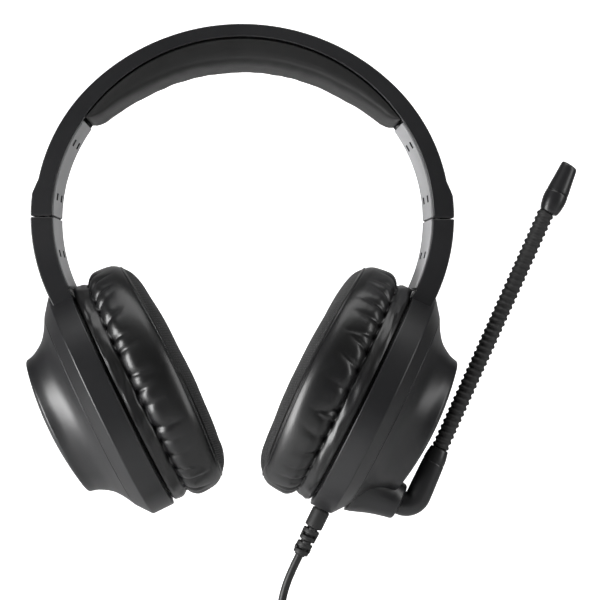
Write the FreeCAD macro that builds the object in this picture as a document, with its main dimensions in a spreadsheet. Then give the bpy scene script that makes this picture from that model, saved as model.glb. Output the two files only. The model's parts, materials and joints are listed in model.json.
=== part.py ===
import FreeCAD, Part
import math
import os

import Sketcher
from FreeCAD import Placement, Rotation, Vector

# A wired over-ear headset with a boom microphone. Millimetres, +Z up, the wearer's left at +X and the
# face at -Y. The origin is the middle of the headband pad's underside, where the head carries it.

DIMENSIONS = {
    # headband: a three-centred arch, one crown arc and two side arcs
    "band_depth": 37.0,
    "crown_height": 14.0,
    "crown_inner": 8.8,
    "side_x": 10.0,
    "side_z": -65.0,
    "side_outer": 75.0,
    "side_inner": 68.0,
    "end_outer": 76.6,
    "arm_inner": 67.7,
    "wall": 1.8,
    "liner_thick": 1.6,
    "pad_depth": 35.0,
    # size adjuster
    "slide_lean": 9.0,
    "rail_x": 81.4,
    "rail_wide": 16.0,
    "rail_thick": 1.2,
    "rail_above": 28.0,
    "rail_below": 9.0,
    # ear cups: each leans in at the bottom, and its front edge a little
    "cup_x": 50.5,
    "cup_z": -139.0,
    "cup_lean": 26.0,
    "toe_in": 2.5,
    "ring_long": 50.3,
    "ring_short": 42.0,
    "ring_deep": 14.4,
    "bevel_along": 4.9,
    "bevel_across": 6.3,
    "ring_wall": 2.3,
    "cap_wall": 2.0,
    "face_radius": 130.0,
    "face_height": 33.1,
    "cushion_back": 3.8,
    "cushion_face": 30.0,
    "hole_long": 29.5,
    "hole_short": 21.5,
    # boom microphone
    "pivot_down": 33.3,
    "boss_end": 33.6,
    "boss_low_radius": 14.0,
    "boss_end_radius": 7.5,
    "pin_radius": 3.2,
    "elbow_radius": 5.2,
    "elbow_bend": 5.6,
    "boom_lean": 1.8,
    "sleeve_radius": 3.65,
    "sleeve_bore": 1.5,
    "rib_pitch": 2.6,
    "gooseneck_long": 111.0,
    # cord
    "cord_diameter": 3.4,
    "coil_radius": 19.5,
    "coil_bundle": 7.6,
    "plug_radius": 1.75,
}

SIDES = {"left": 1, "right": -1}
SLIT = 0.1          # gap between pieces that lie against each other
RUN = 0.05          # radial clearance of a running fit

doc = FreeCAD.newDocument("headset")
sheet = doc.addObject("Spreadsheet::Sheet", "dims")
for row, (alias, value) in enumerate(DIMENSIONS.items(), 1):
    sheet.set(f"A{row}", alias)
    sheet.set(f"B{row}", str(value))
    sheet.setAlias(f"B{row}", alias)
doc.recompute()

pieces = []


def dim(alias):
    return float(sheet.get(alias))


def bind(thing, prop, expression):
    """Ties a property to an expression of sheet cells, written with their bare aliases."""
    words = expression.split(" ")
    named = [f"dims.{word}" if word in DIMENSIONS else word for word in words]
    thing.setExpression(prop, " ".join(named))


def keep(thing, label):
    """Marks a document object as one finished piece of the headset."""
    thing.Label = label
    pieces.append(thing)
    return thing


# ---------------------------------------------------------------- sketching helpers


def new_body(name, place=None):
    body = doc.addObject("PartDesign::Body", name)
    if place:
        body.Placement = place
    return body


def new_sketch(body, role="XY_Plane", lift=0.0):
    sketch = body.newObject("Sketcher::SketchObject", body.Name + "_sketch")
    plane = next(f for f in body.Origin.OriginFeatures if f.Role == role)
    sketch.AttachmentSupport = [(plane, "")]
    sketch.MapMode = "FlatFace"
    sketch.AttachmentOffset = Placement(Vector(0, 0, lift), Rotation())
    return sketch


def outline(sketch, start, *steps):
    """Draws a closed outline: a step is the next point, or a pair of a mid point and the next one."""
    here = Vector(*start, 0)
    for step in [*steps, start]:
        if isinstance(step[0], tuple):
            mid, there = (Vector(*p, 0) for p in step)
            sketch.addGeometry(Part.Arc(here, mid, there))
        else:
            there = Vector(*step, 0)
            if here.distanceToPoint(there) > 1e-6:
                sketch.addGeometry(Part.LineSegment(here, there))
        here = there


def add_circle(sketch, radius, x=0.0, y=0.0):
    """A circle whose radius stays a number, or follows a sheet expression given as text."""
    size = radius if not isinstance(radius, str) else 1.0
    at = sketch.addGeometry(Part.Circle(Vector(x, y, 0), Vector(0, 0, 1), size))
    if isinstance(radius, str):
        rule = sketch.addConstraint(Sketcher.Constraint("Radius", at, 1.0))
        bind(sketch, f"Constraints[{rule}]", radius)


def add_oval(sketch, long, short):
    """An ellipse with its long axis along the sketch's Y."""
    sketch.addGeometry(Part.Ellipse(Vector(0, long, 0), Vector(short, 0, 0), Vector(0, 0, 0)))


def feature(body, kind, sketch, length=None, midplane=False, backwards=False):
    made = body.newObject(f"PartDesign::{kind}", f"{body.Name}_{kind.lower()}")
    made.Profile = sketch
    if length is not None:
        if isinstance(length, str):
            bind(made, "Length", length)
        else:
            made.Length = length
    made.Midplane = midplane
    made.Reversed = backwards
    body.Tip = made
    return made


def pad(body, sketch, length, **more):
    return feature(body, "Pad", sketch, length, **more)


def pocket(body, sketch, length, **more):
    """A pocket, checked to have taken something away."""
    doc.recompute()
    before = body.Shape.Volume
    made = feature(body, "Pocket", sketch, length, **more)
    doc.recompute()
    if body.Shape.Volume >= before - 0.01:
        raise RuntimeError(f"{made.Name} cuts nothing")
    return made


def turned(name, points, place=None):
    """A body turned about its own Z from an outline of (radius, height) points."""
    body = new_body(name, place)
    sketch = new_sketch(body, "XZ_Plane")
    outline(sketch, *points)
    made = body.newObject("PartDesign::Revolution", f"{name}_turn")
    made.Profile = sketch
    made.ReferenceAxis = (sketch, ["V_Axis"])
    made.Angle = 360
    body.Tip = made
    return body


def rounded(body, radius, wanted):
    """Fillets the edges of the body's tip that the test picks."""
    doc.recompute()
    tip = body.Tip
    names = [f"Edge{i}" for i, e in enumerate(tip.Shape.Edges, 1) if wanted(e)]
    made = body.newObject("PartDesign::Fillet", f"{body.Name}_fillet")
    made.Base = (tip, names)
    made.Radius = radius
    body.Tip = made
    return made


def edge_at(height, long):
    """Picks closed edges at one height whose half length along Y is near the one given."""
    def test(edge):
        box = edge.BoundBox
        level = abs(box.ZMin - height) < 0.02 and abs(box.ZMax - height) < 0.02
        return level and abs(box.YMax - long) < 0.3
    return test


def cut(base, *tools, name=None):
    """base less each tool, as one Part::Cut after another."""
    for tool in tools:
        made = doc.addObject("Part::Cut", name or f"{base.Name}_cut")
        made.Base = base
        made.Tool = tool
        base = made
    return base


def block(name, wide, deep, high, place):
    """A box centred on its own middle."""
    box = doc.addObject("Part::Box", name)
    box.Length, box.Width, box.Height = wide, deep, high
    shift = Placement(Vector(-wide / 2, -deep / 2, -high / 2), Rotation())
    box.Placement = place.multiply(shift)
    return box


def rod(name, radius, high, place):
    cylinder = doc.addObject("Part::Cylinder", name)
    if isinstance(radius, str):
        bind(cylinder, "Radius", radius)
    else:
        cylinder.Radius = radius
    cylinder.Height = high
    cylinder.Placement = place
    return cylinder


def group(name, members):
    made = doc.addObject("Part::Compound", name)
    made.Links = members
    return made


# ---------------------------------------------------------------- the arch of the headband


def polar(side, radius, degrees):
    """A point (x, z) at a radius and angle about one side arc's centre."""
    angle = math.radians(degrees)
    x = dim("side_x") + radius * math.cos(angle)
    return side * x, dim("side_z") + radius * math.sin(angle)


def crown_radius(top, side_radius):
    """Radius of the crown arc that meets two side arcs smoothly."""
    rise = top - side_radius - dim("side_z")
    return side_radius + (dim("side_x") ** 2 + rise ** 2) / (2 * rise)


def arch(top, side_radius):
    """Where the crown arc meets a side arc, as an angle, and the crown's top point."""
    crown_z = top - crown_radius(top, side_radius)
    return math.degrees(math.atan2(dim("side_z") - crown_z, dim("side_x"))), (0.0, top)


def arch_steps(top, side_radius, end, side=1):
    """Outline steps from one end of an arch over the crown to the other."""
    meet, crown = arch(top, side_radius)
    half = (end + meet) / 2
    return [
        (polar(side, side_radius, half), polar(side, side_radius, meet)),
        (crown, polar(-side, side_radius, meet)),
        (polar(-side, side_radius, half), polar(-side, side_radius, end)),
    ]


def arch_body(name, depth, top_out, side_out, top_in, side_in, end):
    """A strip between two arches, ending at an angle on both sides."""
    body = new_body(name)
    sketch = new_sketch(body, "XZ_Plane")
    outline(
        sketch,
        polar(1, side_out, end),
        *arch_steps(top_out, side_out, end),
        polar(-1, side_in, end),
        *arch_steps(top_in, side_in, end, side=-1),
    )
    pad(body, sketch, depth, midplane=True)
    return body


def sector(name, side, inner, outer, low, high, depth):
    """A curved slab about one side arc's centre."""
    body = new_body(name)
    sketch = new_sketch(body, "XZ_Plane")
    mid = (low + high) / 2
    outline(
        sketch,
        polar(side, outer, low),
        (polar(side, outer, mid), polar(side, outer, high)),
        polar(side, inner, high),
        (polar(side, inner, mid), polar(side, inner, low)),
    )
    pad(body, sketch, depth, midplane=True)
    return body


BUMP_LOW = 6.8
BUMP_HIGH = 11.5


def make_shell():
    """The moulded arch: a channel open towards the head, thicker over its last centimetre."""
    body = new_body("headband_shell")
    sketch = new_sketch(body, "XZ_Plane")
    thick, thin, inside = dim("end_outer"), dim("side_outer"), dim("side_inner")
    steps = arch_steps(dim("crown_height"), thin, BUMP_HIGH)
    outline(
        sketch,
        polar(1, thick, 0),
        (polar(1, thick, BUMP_LOW / 2), polar(1, thick, BUMP_LOW)),
        polar(1, thin, BUMP_HIGH),
        *steps,
        polar(-1, thick, BUMP_LOW),
        (polar(-1, thick, BUMP_LOW / 2), polar(-1, thick, 0)),
        polar(-1, inside, 0),
        *arch_steps(dim("crown_inner"), inside, 0, side=-1),
    )
    pad(body, sketch, "band_depth", midplane=True)
    channel = new_sketch(body, "XZ_Plane")
    wall = dim("wall")
    deep = 4.0
    outline(
        channel,
        polar(1, thin - wall, -2),
        *arch_steps(dim("crown_height") - wall, thin - wall, -2),
        polar(-1, inside - deep, -2),
        *arch_steps(dim("crown_inner") - deep, inside - deep, -2, side=-1),
    )
    pocket(body, channel, "band_depth - 2 * wall", midplane=True)
    keep(body, "headband_shell")


CHANNEL_GAP = 0.15
LINER_END = 35.4
LINER_PROUD = 0.4
BASE_THICK = 1.0
BASE_HALF = math.radians(50)


def make_band_insides():
    """The steel spring, the audio lead and the pad's carrier inside the channel."""
    wall = dim("wall")
    top, out = dim("crown_height") - wall - 0.2, dim("side_outer") - wall - 0.2
    spring = arch_body("spring_band", 20.0, top, out, top - 0.8, out - 0.8, 33.0)
    keep(spring, "spring_band")
    lead_top, lead_out = top - 1.0, out - 1.0
    lead = arch_body("bridge_wire", 1.4, lead_top, lead_out, lead_top - 0.9, lead_out - 0.9, 34.0)
    keep(lead, "bridge_wire")
    base = new_body("pad_base")
    sketch = new_sketch(base, "XZ_Plane")
    inner = crown_radius(dim("crown_inner"), dim("side_inner"))
    centre = dim("crown_inner") - inner
    outer = inner + BASE_THICK
    ends = [(r * math.sin(BASE_HALF), centre + r * math.cos(BASE_HALF)) for r in (inner, outer)]
    outline(
        sketch, ends[1], ((0.0, centre + outer), (-ends[1][0], ends[1][1])),
        (-ends[0][0], ends[0][1]), ((0.0, centre + inner), ends[0]),
    )
    pad(base, sketch, dim("band_depth") - 2 * wall - 2 * CHANNEL_GAP, midplane=True)
    keep(base, "pad_base")


PAD_FLAT = (52.0, -17.3)
PAD_END_MID = (60.0, -22.0)
PAD_END = (64.6, -25.3)


def make_pad():
    """The crown cushion: thick over the head, running out to nothing beside it."""
    body = new_body("headband_pad")
    sketch = new_sketch(body, "XZ_Plane")
    top = dim("crown_inner") - SLIT
    meet = polar(1, dim("side_inner") - SLIT, 41.0)
    outline(
        sketch,
        PAD_END,
        meet,
        *[((0.0, top), (-meet[0], meet[1]))],
        (-PAD_END[0], PAD_END[1]),
        ((-PAD_END_MID[0], PAD_END_MID[1]), (-PAD_FLAT[0], PAD_FLAT[1])),
        ((0.0, 0.0), PAD_FLAT),
        (PAD_END_MID, PAD_END),
    )
    pad(body, sketch, "pad_depth", midplane=True)
    keep(body, "headband_pad")


# ---------------------------------------------------------------- size adjusters


def slide_direction(side):
    lean = math.radians(dim("slide_lean"))
    return Vector(side * math.sin(lean), 0, -math.cos(lean))


def rail_place(side, along=0.0):
    """A frame on the rail at the seam: X through its thickness, Z up the rail."""
    down = slide_direction(side)
    up = down.negative()
    turn = Rotation(Vector(0, 1, 0).cross(up), Vector(0, 1, 0), up, "ZYX")
    return Placement(Vector(side * dim("rail_x"), 0, dim("side_z")) + down * along, turn)


def make_adjuster(name, side):
    above, below = dim("rail_above"), dim("rail_below")
    wide, thick = dim("rail_wide"), dim("rail_thick")
    body = new_body(f"{name}_rail", rail_place(side))
    sketch = new_sketch(body, "YZ_Plane")
    half = wide / 2
    outline(sketch, (-half, -below), (half, -below), (half, above), (-half, above))
    pad(body, sketch, "rail_thick", midplane=True)
    notch = new_sketch(body, "YZ_Plane")
    add_circle(notch, 0.7, half, -0.8 + 4.0)
    cutter = pocket(body, notch, 4.0, midplane=True)
    many = body.newObject("PartDesign::LinearPattern", f"{name}_notches")
    many.Originals = [cutter]
    many.Direction = (notch, ["V_Axis"])
    many.Length = 22.0
    many.Occurrences = 9
    body.Tip = many
    keep(body, f"{name}_slider_rail")

    # the guide fills the end of the channel round the rail
    inner, outer = dim("side_inner") + 2.0, dim("side_outer") - dim("wall") - 0.2
    width = dim("band_depth") - 2 * dim("wall") - 2 * CHANNEL_GAP
    filling = sector(f"{name}_filling", side, inner, outer, 0.3, 22.0, width)
    slot = block(
        f"{name}_guide_slot", thick + 0.8, wide + 0.8, 2 * above + 12, rail_place(side)
    )
    nook = block(
        f"{name}_spring_nook", 8.0, 4.2, 9.0, rail_place(side, -12.0).multiply(
            Placement(Vector(0, half + 2.2, 0), Rotation())
        )
    )
    keep(cut(filling, slot, nook), f"{name}_slider_guide")
    spring_at = rail_place(side, -12.0).multiply(Placement(Vector(0, half + 1.3, 0), Rotation()))
    leaf = block(f"{name}_leaf", 1.5, 0.4, 8.0, spring_at)
    keep(leaf, f"{name}_detent_spring")

    proud = dim("arm_inner") - LINER_PROUD
    liner = sector(f"{name}_band_liner", side, proud, dim("side_inner") + 1.6, 0.3, LINER_END, width)
    keep(liner, f"{name}_band_liner")


# ---------------------------------------------------------------- ear cups


def cup_place(side):
    """The cup's own frame: Y up its long axis, Z outwards, origin in the cushion's seat plane."""
    lean, toe = math.radians(dim("cup_lean")), math.radians(dim("toe_in"))
    up = Vector(side * math.sin(lean), 0, math.cos(lean))
    flat = Vector(side * math.cos(lean), 0, -math.sin(lean))
    out = flat * math.cos(toe) + Vector(0, -1, 0) * math.sin(toe)
    turn = Rotation(up.cross(out), up, out, "ZYX")
    return Placement(Vector(side * dim("cup_x"), 0, dim("cup_z")), turn)


def in_cup(side, x=0.0, y=0.0, z=0.0, turn=None):
    return cup_place(side).multiply(Placement(Vector(x, y, z), turn or Rotation()))


def oval_pad(name, side, bottom, top, long, short, hole=None):
    """A slab with an oval outline, and an oval hole if one is given."""
    body = new_body(name, cup_place(side))
    sketch = new_sketch(body, "XY_Plane", bottom)
    add_oval(sketch, long, short)
    if hole:
        add_oval(sketch, *hole)
    pad(body, sketch, top - bottom)
    return body


def oval_pocket(body, bottom, top, long, short):
    sketch = new_sketch(body, "XY_Plane", bottom)
    add_oval(sketch, long, short)
    return pocket(body, sketch, top - bottom, backwards=True)


SCREW_X, SCREW_Y = 24.0, 29.0
CORNERS = [(x, y) for x in (-SCREW_X, SCREW_X) for y in (-SCREW_Y, SCREW_Y)]
RELIEF_Z = 5.6


def make_housing(name, side):
    """The arm and the oval ring in one moulding, hollow for the driver."""
    ring = oval_pad(f"{name}_ring", side, 0, dim("ring_deep"), dim("ring_long"), dim("ring_short"))
    doc.recompute()
    rim = edge_at(dim("ring_deep"), dim("ring_long"))
    tip = ring.Tip
    names = [f"Edge{i}" for i, e in enumerate(tip.Shape.Edges, 1) if rim(e)]
    bevel = ring.newObject("PartDesign::Chamfer", f"{name}_bevel")
    bevel.Base = (tip, names)
    bevel.ChamferType = 1
    bind(bevel, "Size", "bevel_along")
    bind(bevel, "Size2", "bevel_across")
    ring.Tip = bevel
    doc.recompute()
    oval_pocket(ring, -1, 16, 41.5, 33.0)
    long, short = dim("ring_long") - dim("ring_wall"), dim("ring_short") - dim("ring_wall")
    oval_pocket(ring, -1, 9.0, long, short)

    arm = sector(f"{name}_arm", side, dim("arm_inner"), dim("end_outer"), -31.0, -0.35, "band_depth")
    inside = oval_pad(f"{name}_inside", side, -14, 9.0, long, short)
    behind = oval_pad(f"{name}_behind", side, -30, -0.0, 60, 60)
    arm_only = cut(arm, inside, behind)
    posts = [
        rod(f"{name}_post{i}_{j}", 3.2, 6.4, in_cup(side, x * grow, y * grow, 2.7))
        for i, (x, y) in enumerate(CORNERS) for j, grow in enumerate((1.0, 1.13))
    ]
    whole = doc.addObject("Part::MultiFuse", f"{name}_whole")
    whole.Shapes = [ring, arm_only, *posts]
    holes = [
        rod(f"{name}_hole{i}", 1.15, 6.0, in_cup(side, x, y, 2.0)) for i, (x, y) in enumerate(CORNERS)
    ]
    slot = block(
        f"{name}_rail_slot", dim("rail_thick") + 0.1, dim("rail_wide") + 0.1,
        2 * (dim("rail_below") + SLIT), rail_place(side),
    )
    width = dim("band_depth") - 2 * dim("wall")
    recess = sector(f"{name}_recess", side, dim("arm_inner") - 3, dim("arm_inner") + 1.7, -24.0, 2.0, width)
    return cut(whole, *holes, slot, recess)


# the flare of a cup cover, from the ring outwards: height, long half and short half of each oval
FLARE = [(14.5, 43.8, 35.5), (17.2, 38.9, 32.0), (20.6, 34.7, 29.0), (25.4, 31.6, 26.6), (34.5, 30.2, 25.4)]
FACE_WALL = 4.6


def flare_inside(wall):
    """The hollow of a flare, open at the ring and closed behind the face."""
    rows = [(height, long - wall, short - wall) for height, long, short in FLARE]
    foot, end = rows[0], rows[-1]
    rows[0] = (foot[0] - 2 * SLIT, *foot[1:])
    rows[-1] = (end[0] - FACE_WALL, *end[1:])
    return rows


def make_cap(name, side):
    """The flared cover: wide at the ring, waisted, with a gently domed oval face."""
    body = new_body(f"{name}_flare", cup_place(side))

    def loft(kind, rows):
        sketches = []
        for height, long, short in rows:
            sketches.append(new_sketch(body, "XY_Plane", height))
            add_oval(sketches[-1], long, short)
        made = body.newObject(f"PartDesign::{kind}", f"{name}_{kind}")
        made.Profile = sketches[0]
        made.Sections = sketches[1:]
        body.Tip = made

    loft("AdditiveLoft", FLARE)
    doc.recompute()
    loft("SubtractiveLoft", flare_inside(dim("cap_wall")))
    doc.recompute()
    dome = new_sketch(body, "XZ_Plane")
    radius, height = dim("face_radius"), dim("face_height")
    reach = 45.0
    drop = radius - math.sqrt(radius ** 2 - reach ** 2)
    half = radius - math.sqrt(radius ** 2 - reach ** 2 / 4)
    outline(
        dome, (0.0, height), ((reach / 2, height - half), (reach, height - drop)),
        (reach, height + 8), (0.0, height + 8),
    )
    groove = body.newObject("PartDesign::Groove", f"{name}_dome")
    groove.Profile = dome
    groove.ReferenceAxis = (dome, ["V_Axis"])
    groove.Angle = 360
    body.Tip = groove
    doc.recompute()
    return body


def make_cup_insides(name, side):
    """Baffle, loudspeaker, cloth, screws and the ear cushion."""
    baffle = oval_pad(f"{name}_baffle", side, 0.4, 2.4, 47.6, 39.3)
    for bottom, top, long, short in ((-2.2, 0.6, 45.0, 36.7), (-3.6, -2.0, 46.6, 38.3)):
        sketch = new_sketch(baffle, "XY_Plane", bottom)
        add_oval(sketch, long, short)
        pad(baffle, sketch, top - bottom)
    sketch = new_sketch(baffle, "XY_Plane", -4.0)
    add_circle(sketch, 20.5)
    for x, y in CORNERS:
        add_circle(sketch, 1.25, x, y)
    pocket(baffle, sketch, 7.0, backwards=True)
    heads = new_sketch(baffle, "XY_Plane", -4.0)
    for x, y in CORNERS:
        add_circle(heads, 2.6, x, y)
    pocket(baffle, heads, 3.0, backwards=True)
    keep(baffle, f"{name}_baffle")

    screws = []
    for i, (x, y) in enumerate(CORNERS):
        profile = [(0, -2.6), (2.2, -2.6), (2.2, -1.0), (1.1, -1.0), (1.1, 7.0), (0, 7.0)]
        screws.append(turned(f"{name}_screw{i}", profile, in_cup(side, x, y)))
    keep(group(f"{name}_screws", screws), f"{name}_baffle_screws")

    seat = 2.5
    frame = [(20.6, seat), (24.5, seat), (24.5, seat + 2.0), (15.5, seat + 6.2), (13.2, seat + 6.2),
             (13.2, seat + 5.0), (20.6, seat + 1.6)]
    keep(turned(f"{name}_frame", frame, cup_place(side)), f"{name}_driver_frame")
    magnet = turned(
        f"{name}_magnet",
        [(0, 7.2), (9.0, 7.2), (9.0, 6.0), (13.0, 6.0), (13.0, 12.2), (0, 12.2)], cup_place(side),
    )
    keep(magnet, f"{name}_driver_magnet")
    cone = turned(
        f"{name}_cone",
        [(0, 1.2), (4.0, 1.3), (8.5, 3.4), (14.0, 1.4), (20.2, 2.0), (20.2, 2.3), (14.0, 1.8), (8.5, 3.9),
         (4.0, 1.8), (0, 1.7)], cup_place(side),
    )
    keep(cone, f"{name}_driver_cone")
    cloth = oval_pad(f"{name}_cloth", side, -4.6, -3.7, 28.6, 20.6)
    keep(cloth, f"{name}_acoustic_cloth")

    back, face = -dim("cushion_back"), -dim("cushion_face")
    hole = dim("hole_long"), dim("hole_short")
    cushion = oval_pad(f"{name}_cushion", side, face, -7.4, 50.6, 42.2, hole)
    rounded(cushion, 10.0, edge_at(face, 50.6))
    rounded(cushion, 7.0, edge_at(face, hole[0]))
    rounded(cushion, 3.0, edge_at(-7.4, 50.6))
    for bottom, top, gap in ((-7.6, back, hole), (back - 0.2, -1.6, (46.9, 38.6))):
        sketch = new_sketch(cushion, "XY_Plane", bottom)
        add_oval(sketch, 48.6, 40.3)
        add_oval(sketch, *gap)
        pad(cushion, sketch, top - bottom)
    keep(cushion, f"{name}_ear_cushion")

    width = dim("band_depth") - 2 * dim("wall") - 2 * CHANNEL_GAP
    inner = dim("arm_inner") - LINER_PROUD
    liner = sector(f"{name}_arm_liner", side, inner, inner + 2.0, -23.6, -0.35, width)
    keep(liner, f"{name}_arm_liner")
    fixings = []
    for i, y in enumerate((-4.5, 4.5)):
        at = rail_place(side, 5.0).multiply(Placement(Vector(0, y, 0), Rotation(Vector(0, 1, 0), -90 * side)))
        profile = [(0, -0.6), (1.0, -0.6), (1.0, 1.4), (1.7, 1.4), (1.7, 2.4), (0, 2.4)]
        fixings.append(turned(f"{name}_fixing{i}", profile, at))
    keep(group(f"{name}_fixings", fixings), f"{name}_rail_screws")


for side_name, sign in SIDES.items():
    make_adjuster(side_name, sign)
    make_cup_insides(side_name, sign)

make_shell()
make_band_insides()
make_pad()

# ---------------------------------------------------------------- the boom microphone, on the left cup

LEFT = SIDES["left"]
BOSS_FOOT = 12.5


def boss_radius(height):
    """Radius of the conical boom seat at a height in the cup's frame."""
    low, end = dim("boss_low_radius"), dim("boss_end_radius")
    return low + (end - low) * (height - BOSS_FOOT) / (dim("boss_end") - BOSS_FOOT)


def boss_outline(gap):
    foot, end = BOSS_FOOT - gap, dim("boss_end")
    return [(0, foot), (boss_radius(BOSS_FOOT) + gap, foot), (boss_radius(end) + gap, end), (0, end)]


pivot_place = in_cup(LEFT, 0, -dim("pivot_down"), 0)
boss_tool = turned("boss_tool", boss_outline(0.05), pivot_place)
bore = dim("pin_radius") + RUN
boss = turned(
    "boss",
    [(bore, 17.0), (bore, dim("boss_end")), (dim("boss_end_radius"), dim("boss_end")),
     (boss_radius(14.5), 14.5), (boss_radius(14.5) - 2.0, 14.5), (6.0, 17.0)],
    pivot_place,
)
keep(boss, "mic_boss")

for side_name, sign in SIDES.items():
    housing, cap = make_housing(side_name, sign), make_cap(side_name, sign)
    if sign == LEFT:
        gland = rod("gland_hole", 3.3, 12.0, in_cup(LEFT, 0, -44.0, RELIEF_Z, Rotation(Vector(1, 0, 0), 90)))
        housing, cap = cut(housing, boss_tool, gland), cut(cap, boss_tool)
    keep(housing, f"{side_name}_cup_housing")
    keep(cap, f"{side_name}_cap")

pin_low = 14.6
pin = turned(
    "pin",
    [(1.2, pin_low), (dim("pin_radius"), pin_low), (dim("pin_radius"), dim("boss_end") + 0.3),
     (1.2, dim("boss_end") + 0.3)],
    pivot_place,
)
keep(pin, "boom_pin")
washer = turned("washer", [(3.4, 16.3), (5.6, 16.3), (5.6, 16.9), (3.4, 16.9)], pivot_place)
keep(washer, "friction_washer")
clip = turned("clip", [(3.2, 15.3), (5.2, 15.3), (5.2, 16.2), (3.2, 16.2)], pivot_place)
keep(clip, "pivot_clip")

bend, tube = dim("elbow_bend"), dim("elbow_radius")
knee_z = dim("boss_end") + 0.3
knee = doc.addObject("Part::Torus", "knee")
bind(knee, "Radius1", "elbow_bend")
bind(knee, "Radius2", "elbow_radius")
bind(knee, "Angle3", "90 + boom_lean")
knee_turn = Rotation(Vector(0, -1, 0), Vector(0, 0, 1), Vector(-1, 0, 0), "ZYX")
knee.Placement = in_cup(LEFT, 0, bend - dim("pivot_down"), knee_z, knee_turn)


def on_boom(along, inward=0.0):
    """A frame on the boom's line, Z along it, counted from the end of the elbow's bend."""
    lean = math.radians(dim("boom_lean"))
    line = Vector(0, math.cos(lean), -math.sin(lean))
    turn = Rotation(Vector(1, 0, 0), line.cross(Vector(1, 0, 0)), line, "ZYX")
    end_y, end_z = bend * (1 + math.sin(lean)) - dim("pivot_down"), knee_z + bend * math.cos(lean)
    start = in_cup(LEFT, 0, end_y, end_z, turn)
    return start.multiply(Placement(Vector(0, inward, along), Rotation()))


ELBOW_LONG = 15.6
stem = turned("stem", [(0, 0), (tube, 0), (4.5, ELBOW_LONG), (0, ELBOW_LONG)], on_boom(0))
elbow = doc.addObject("Part::MultiFuse", "elbow")
elbow.Shapes = [knee, stem]
keep(elbow, "boom_elbow")
COLLAR_LONG = 6.0
collar = turned(
    "collar",
    [(0, 0.1), (4.4, 0.1), (4.75, 1.6), (4.5, 3.2), (3.7, COLLAR_LONG), (0, COLLAR_LONG)],
    on_boom(ELBOW_LONG),
)
keep(collar, "boom_collar")

GOOSE_START = ELBOW_LONG + COLLAR_LONG + 0.3
RIBS = 14
LINKS = 3


def make_sleeve(number):
    """One third of the ribbed sleeve, with its length of bending wire inside."""
    pitch, high, low = dim("rib_pitch"), dim("sleeve_radius"), dim("sleeve_radius") - 0.6
    long = RIBS * pitch
    profile = [(dim("sleeve_bore"), 0.05), (low, 0.05)]
    for rib in range(RIBS):
        at = rib * pitch
        profile += [(high, at + 0.6), (high, at + 1.7), (low, at + 2.3)]
    profile += [(low, long - 0.05), (dim("sleeve_bore"), long - 0.05)]
    place = on_boom(GOOSE_START + (number - 1) * long)
    keep(turned(f"sleeve{number}", profile, place), f"gooseneck_sleeve_{number}")
    inside = place.multiply(Placement(Vector(0, 0, SLIT / 2), Rotation()))
    wire = rod(f"wire{number}", "sleeve_bore - 0.1", long - SLIT, inside)
    keep(wire, f"gooseneck_wire_{number}")


for link in range(1, LINKS + 1):
    make_sleeve(link)

MIC_START = GOOSE_START + LINKS * RIBS * dim("rib_pitch")
MIC_SHIFT = -0.9
MIC_SEAM = 9.3
MIC_LONG = 22.0
mic_at = on_boom(MIC_START, MIC_SHIFT)
neck = turned(
    "neck",
    [(0, 0.05), (3.4, 0.05), ((4.2, 1.9), (4.9, 4.4)), ((4.95, 6.6), (4.75, MIC_SEAM - 0.05)),
     (0, MIC_SEAM - 0.05)],
    mic_at,
)
keep(neck, "mic_neck")
head = turned(
    "head",
    [(3.6, MIC_SEAM + 0.05), (4.7, MIC_SEAM + 0.05), ((4.2, 15.5), (3.6, MIC_LONG - 0.6)), (3.0, MIC_LONG),
     (0, MIC_LONG), (0, MIC_LONG - 1.0), (2.6, MIC_LONG - 1.0)],
    mic_at,
)
keep(head, "mic_head")
element_at = mic_at.multiply(Placement(Vector(0, 0, MIC_SEAM + 1.0), Rotation()))
keep(rod("element", 2.4, 5.0, element_at), "mic_element")

# ---------------------------------------------------------------- the cord, from the left cup

board = block("board", 15.0, 9.0, 1.2, in_cup(LEFT, 0, -37.0, 3.15))
keep(board, "junction_board")

RELIEF_START = -46.2
RELIEF_RINGS = 4
relief_profile = [(0, 0), (3.1, 0), (3.1, 4.4), (3.8, 4.5), (3.7, 12.6), (2.4, 12.8)]
for ring in range(RELIEF_RINGS):
    at, radius = 13.6 + 3.1 * ring, 3.6 - 0.12 * ring
    relief_profile += [(2.4, at), (radius, at), (radius, at + 2.0), (2.4, at + 2.0)]
RELIEF_LONG = 25.6
relief_profile += [(2.2, RELIEF_LONG), (0, RELIEF_LONG)]
relief_place = in_cup(LEFT, 0, RELIEF_START, RELIEF_Z, Rotation(Vector(1, 0, 0), 90))
keep(turned("relief", relief_profile, relief_place), "strain_relief")
print("cord exit", relief_place.multVec(Vector(0, 0, RELIEF_LONG)))

LEAD_ROUTE = [
    (24.0, -0.2, -206.0), (20.4, -0.1, -213.4), (17.4, 0.2, -222.0),
    (15.8, 0.2, -231.6), (15.4, 0.0, -242.0),
]
COIL_CENTRE = Vector(24.6, 0.0, -267.0)
TAIL_ROUTE = [(3.2, 0.0, -276.0), (2.2, 0.0, -287.0), (3.2, 0.0, -298.0)]


def corner_arc(before, corner, after):
    """The arc that rounds a corner of a cord: as large as its two runs allow."""
    back, on = (before - corner), (after - corner)
    short = min(back.Length, on.Length)
    turn = math.pi - back.getAngle(on)
    radius = 0.45 * short / math.tan(turn / 2)
    back.normalize()
    on.normalize()
    start, end = corner + back * 0.45 * short, corner + on * 0.45 * short
    middle = (back + on).normalize() * (radius / math.cos(turn / 2) - radius)
    return Part.Arc(start, corner + middle, end), radius


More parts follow.
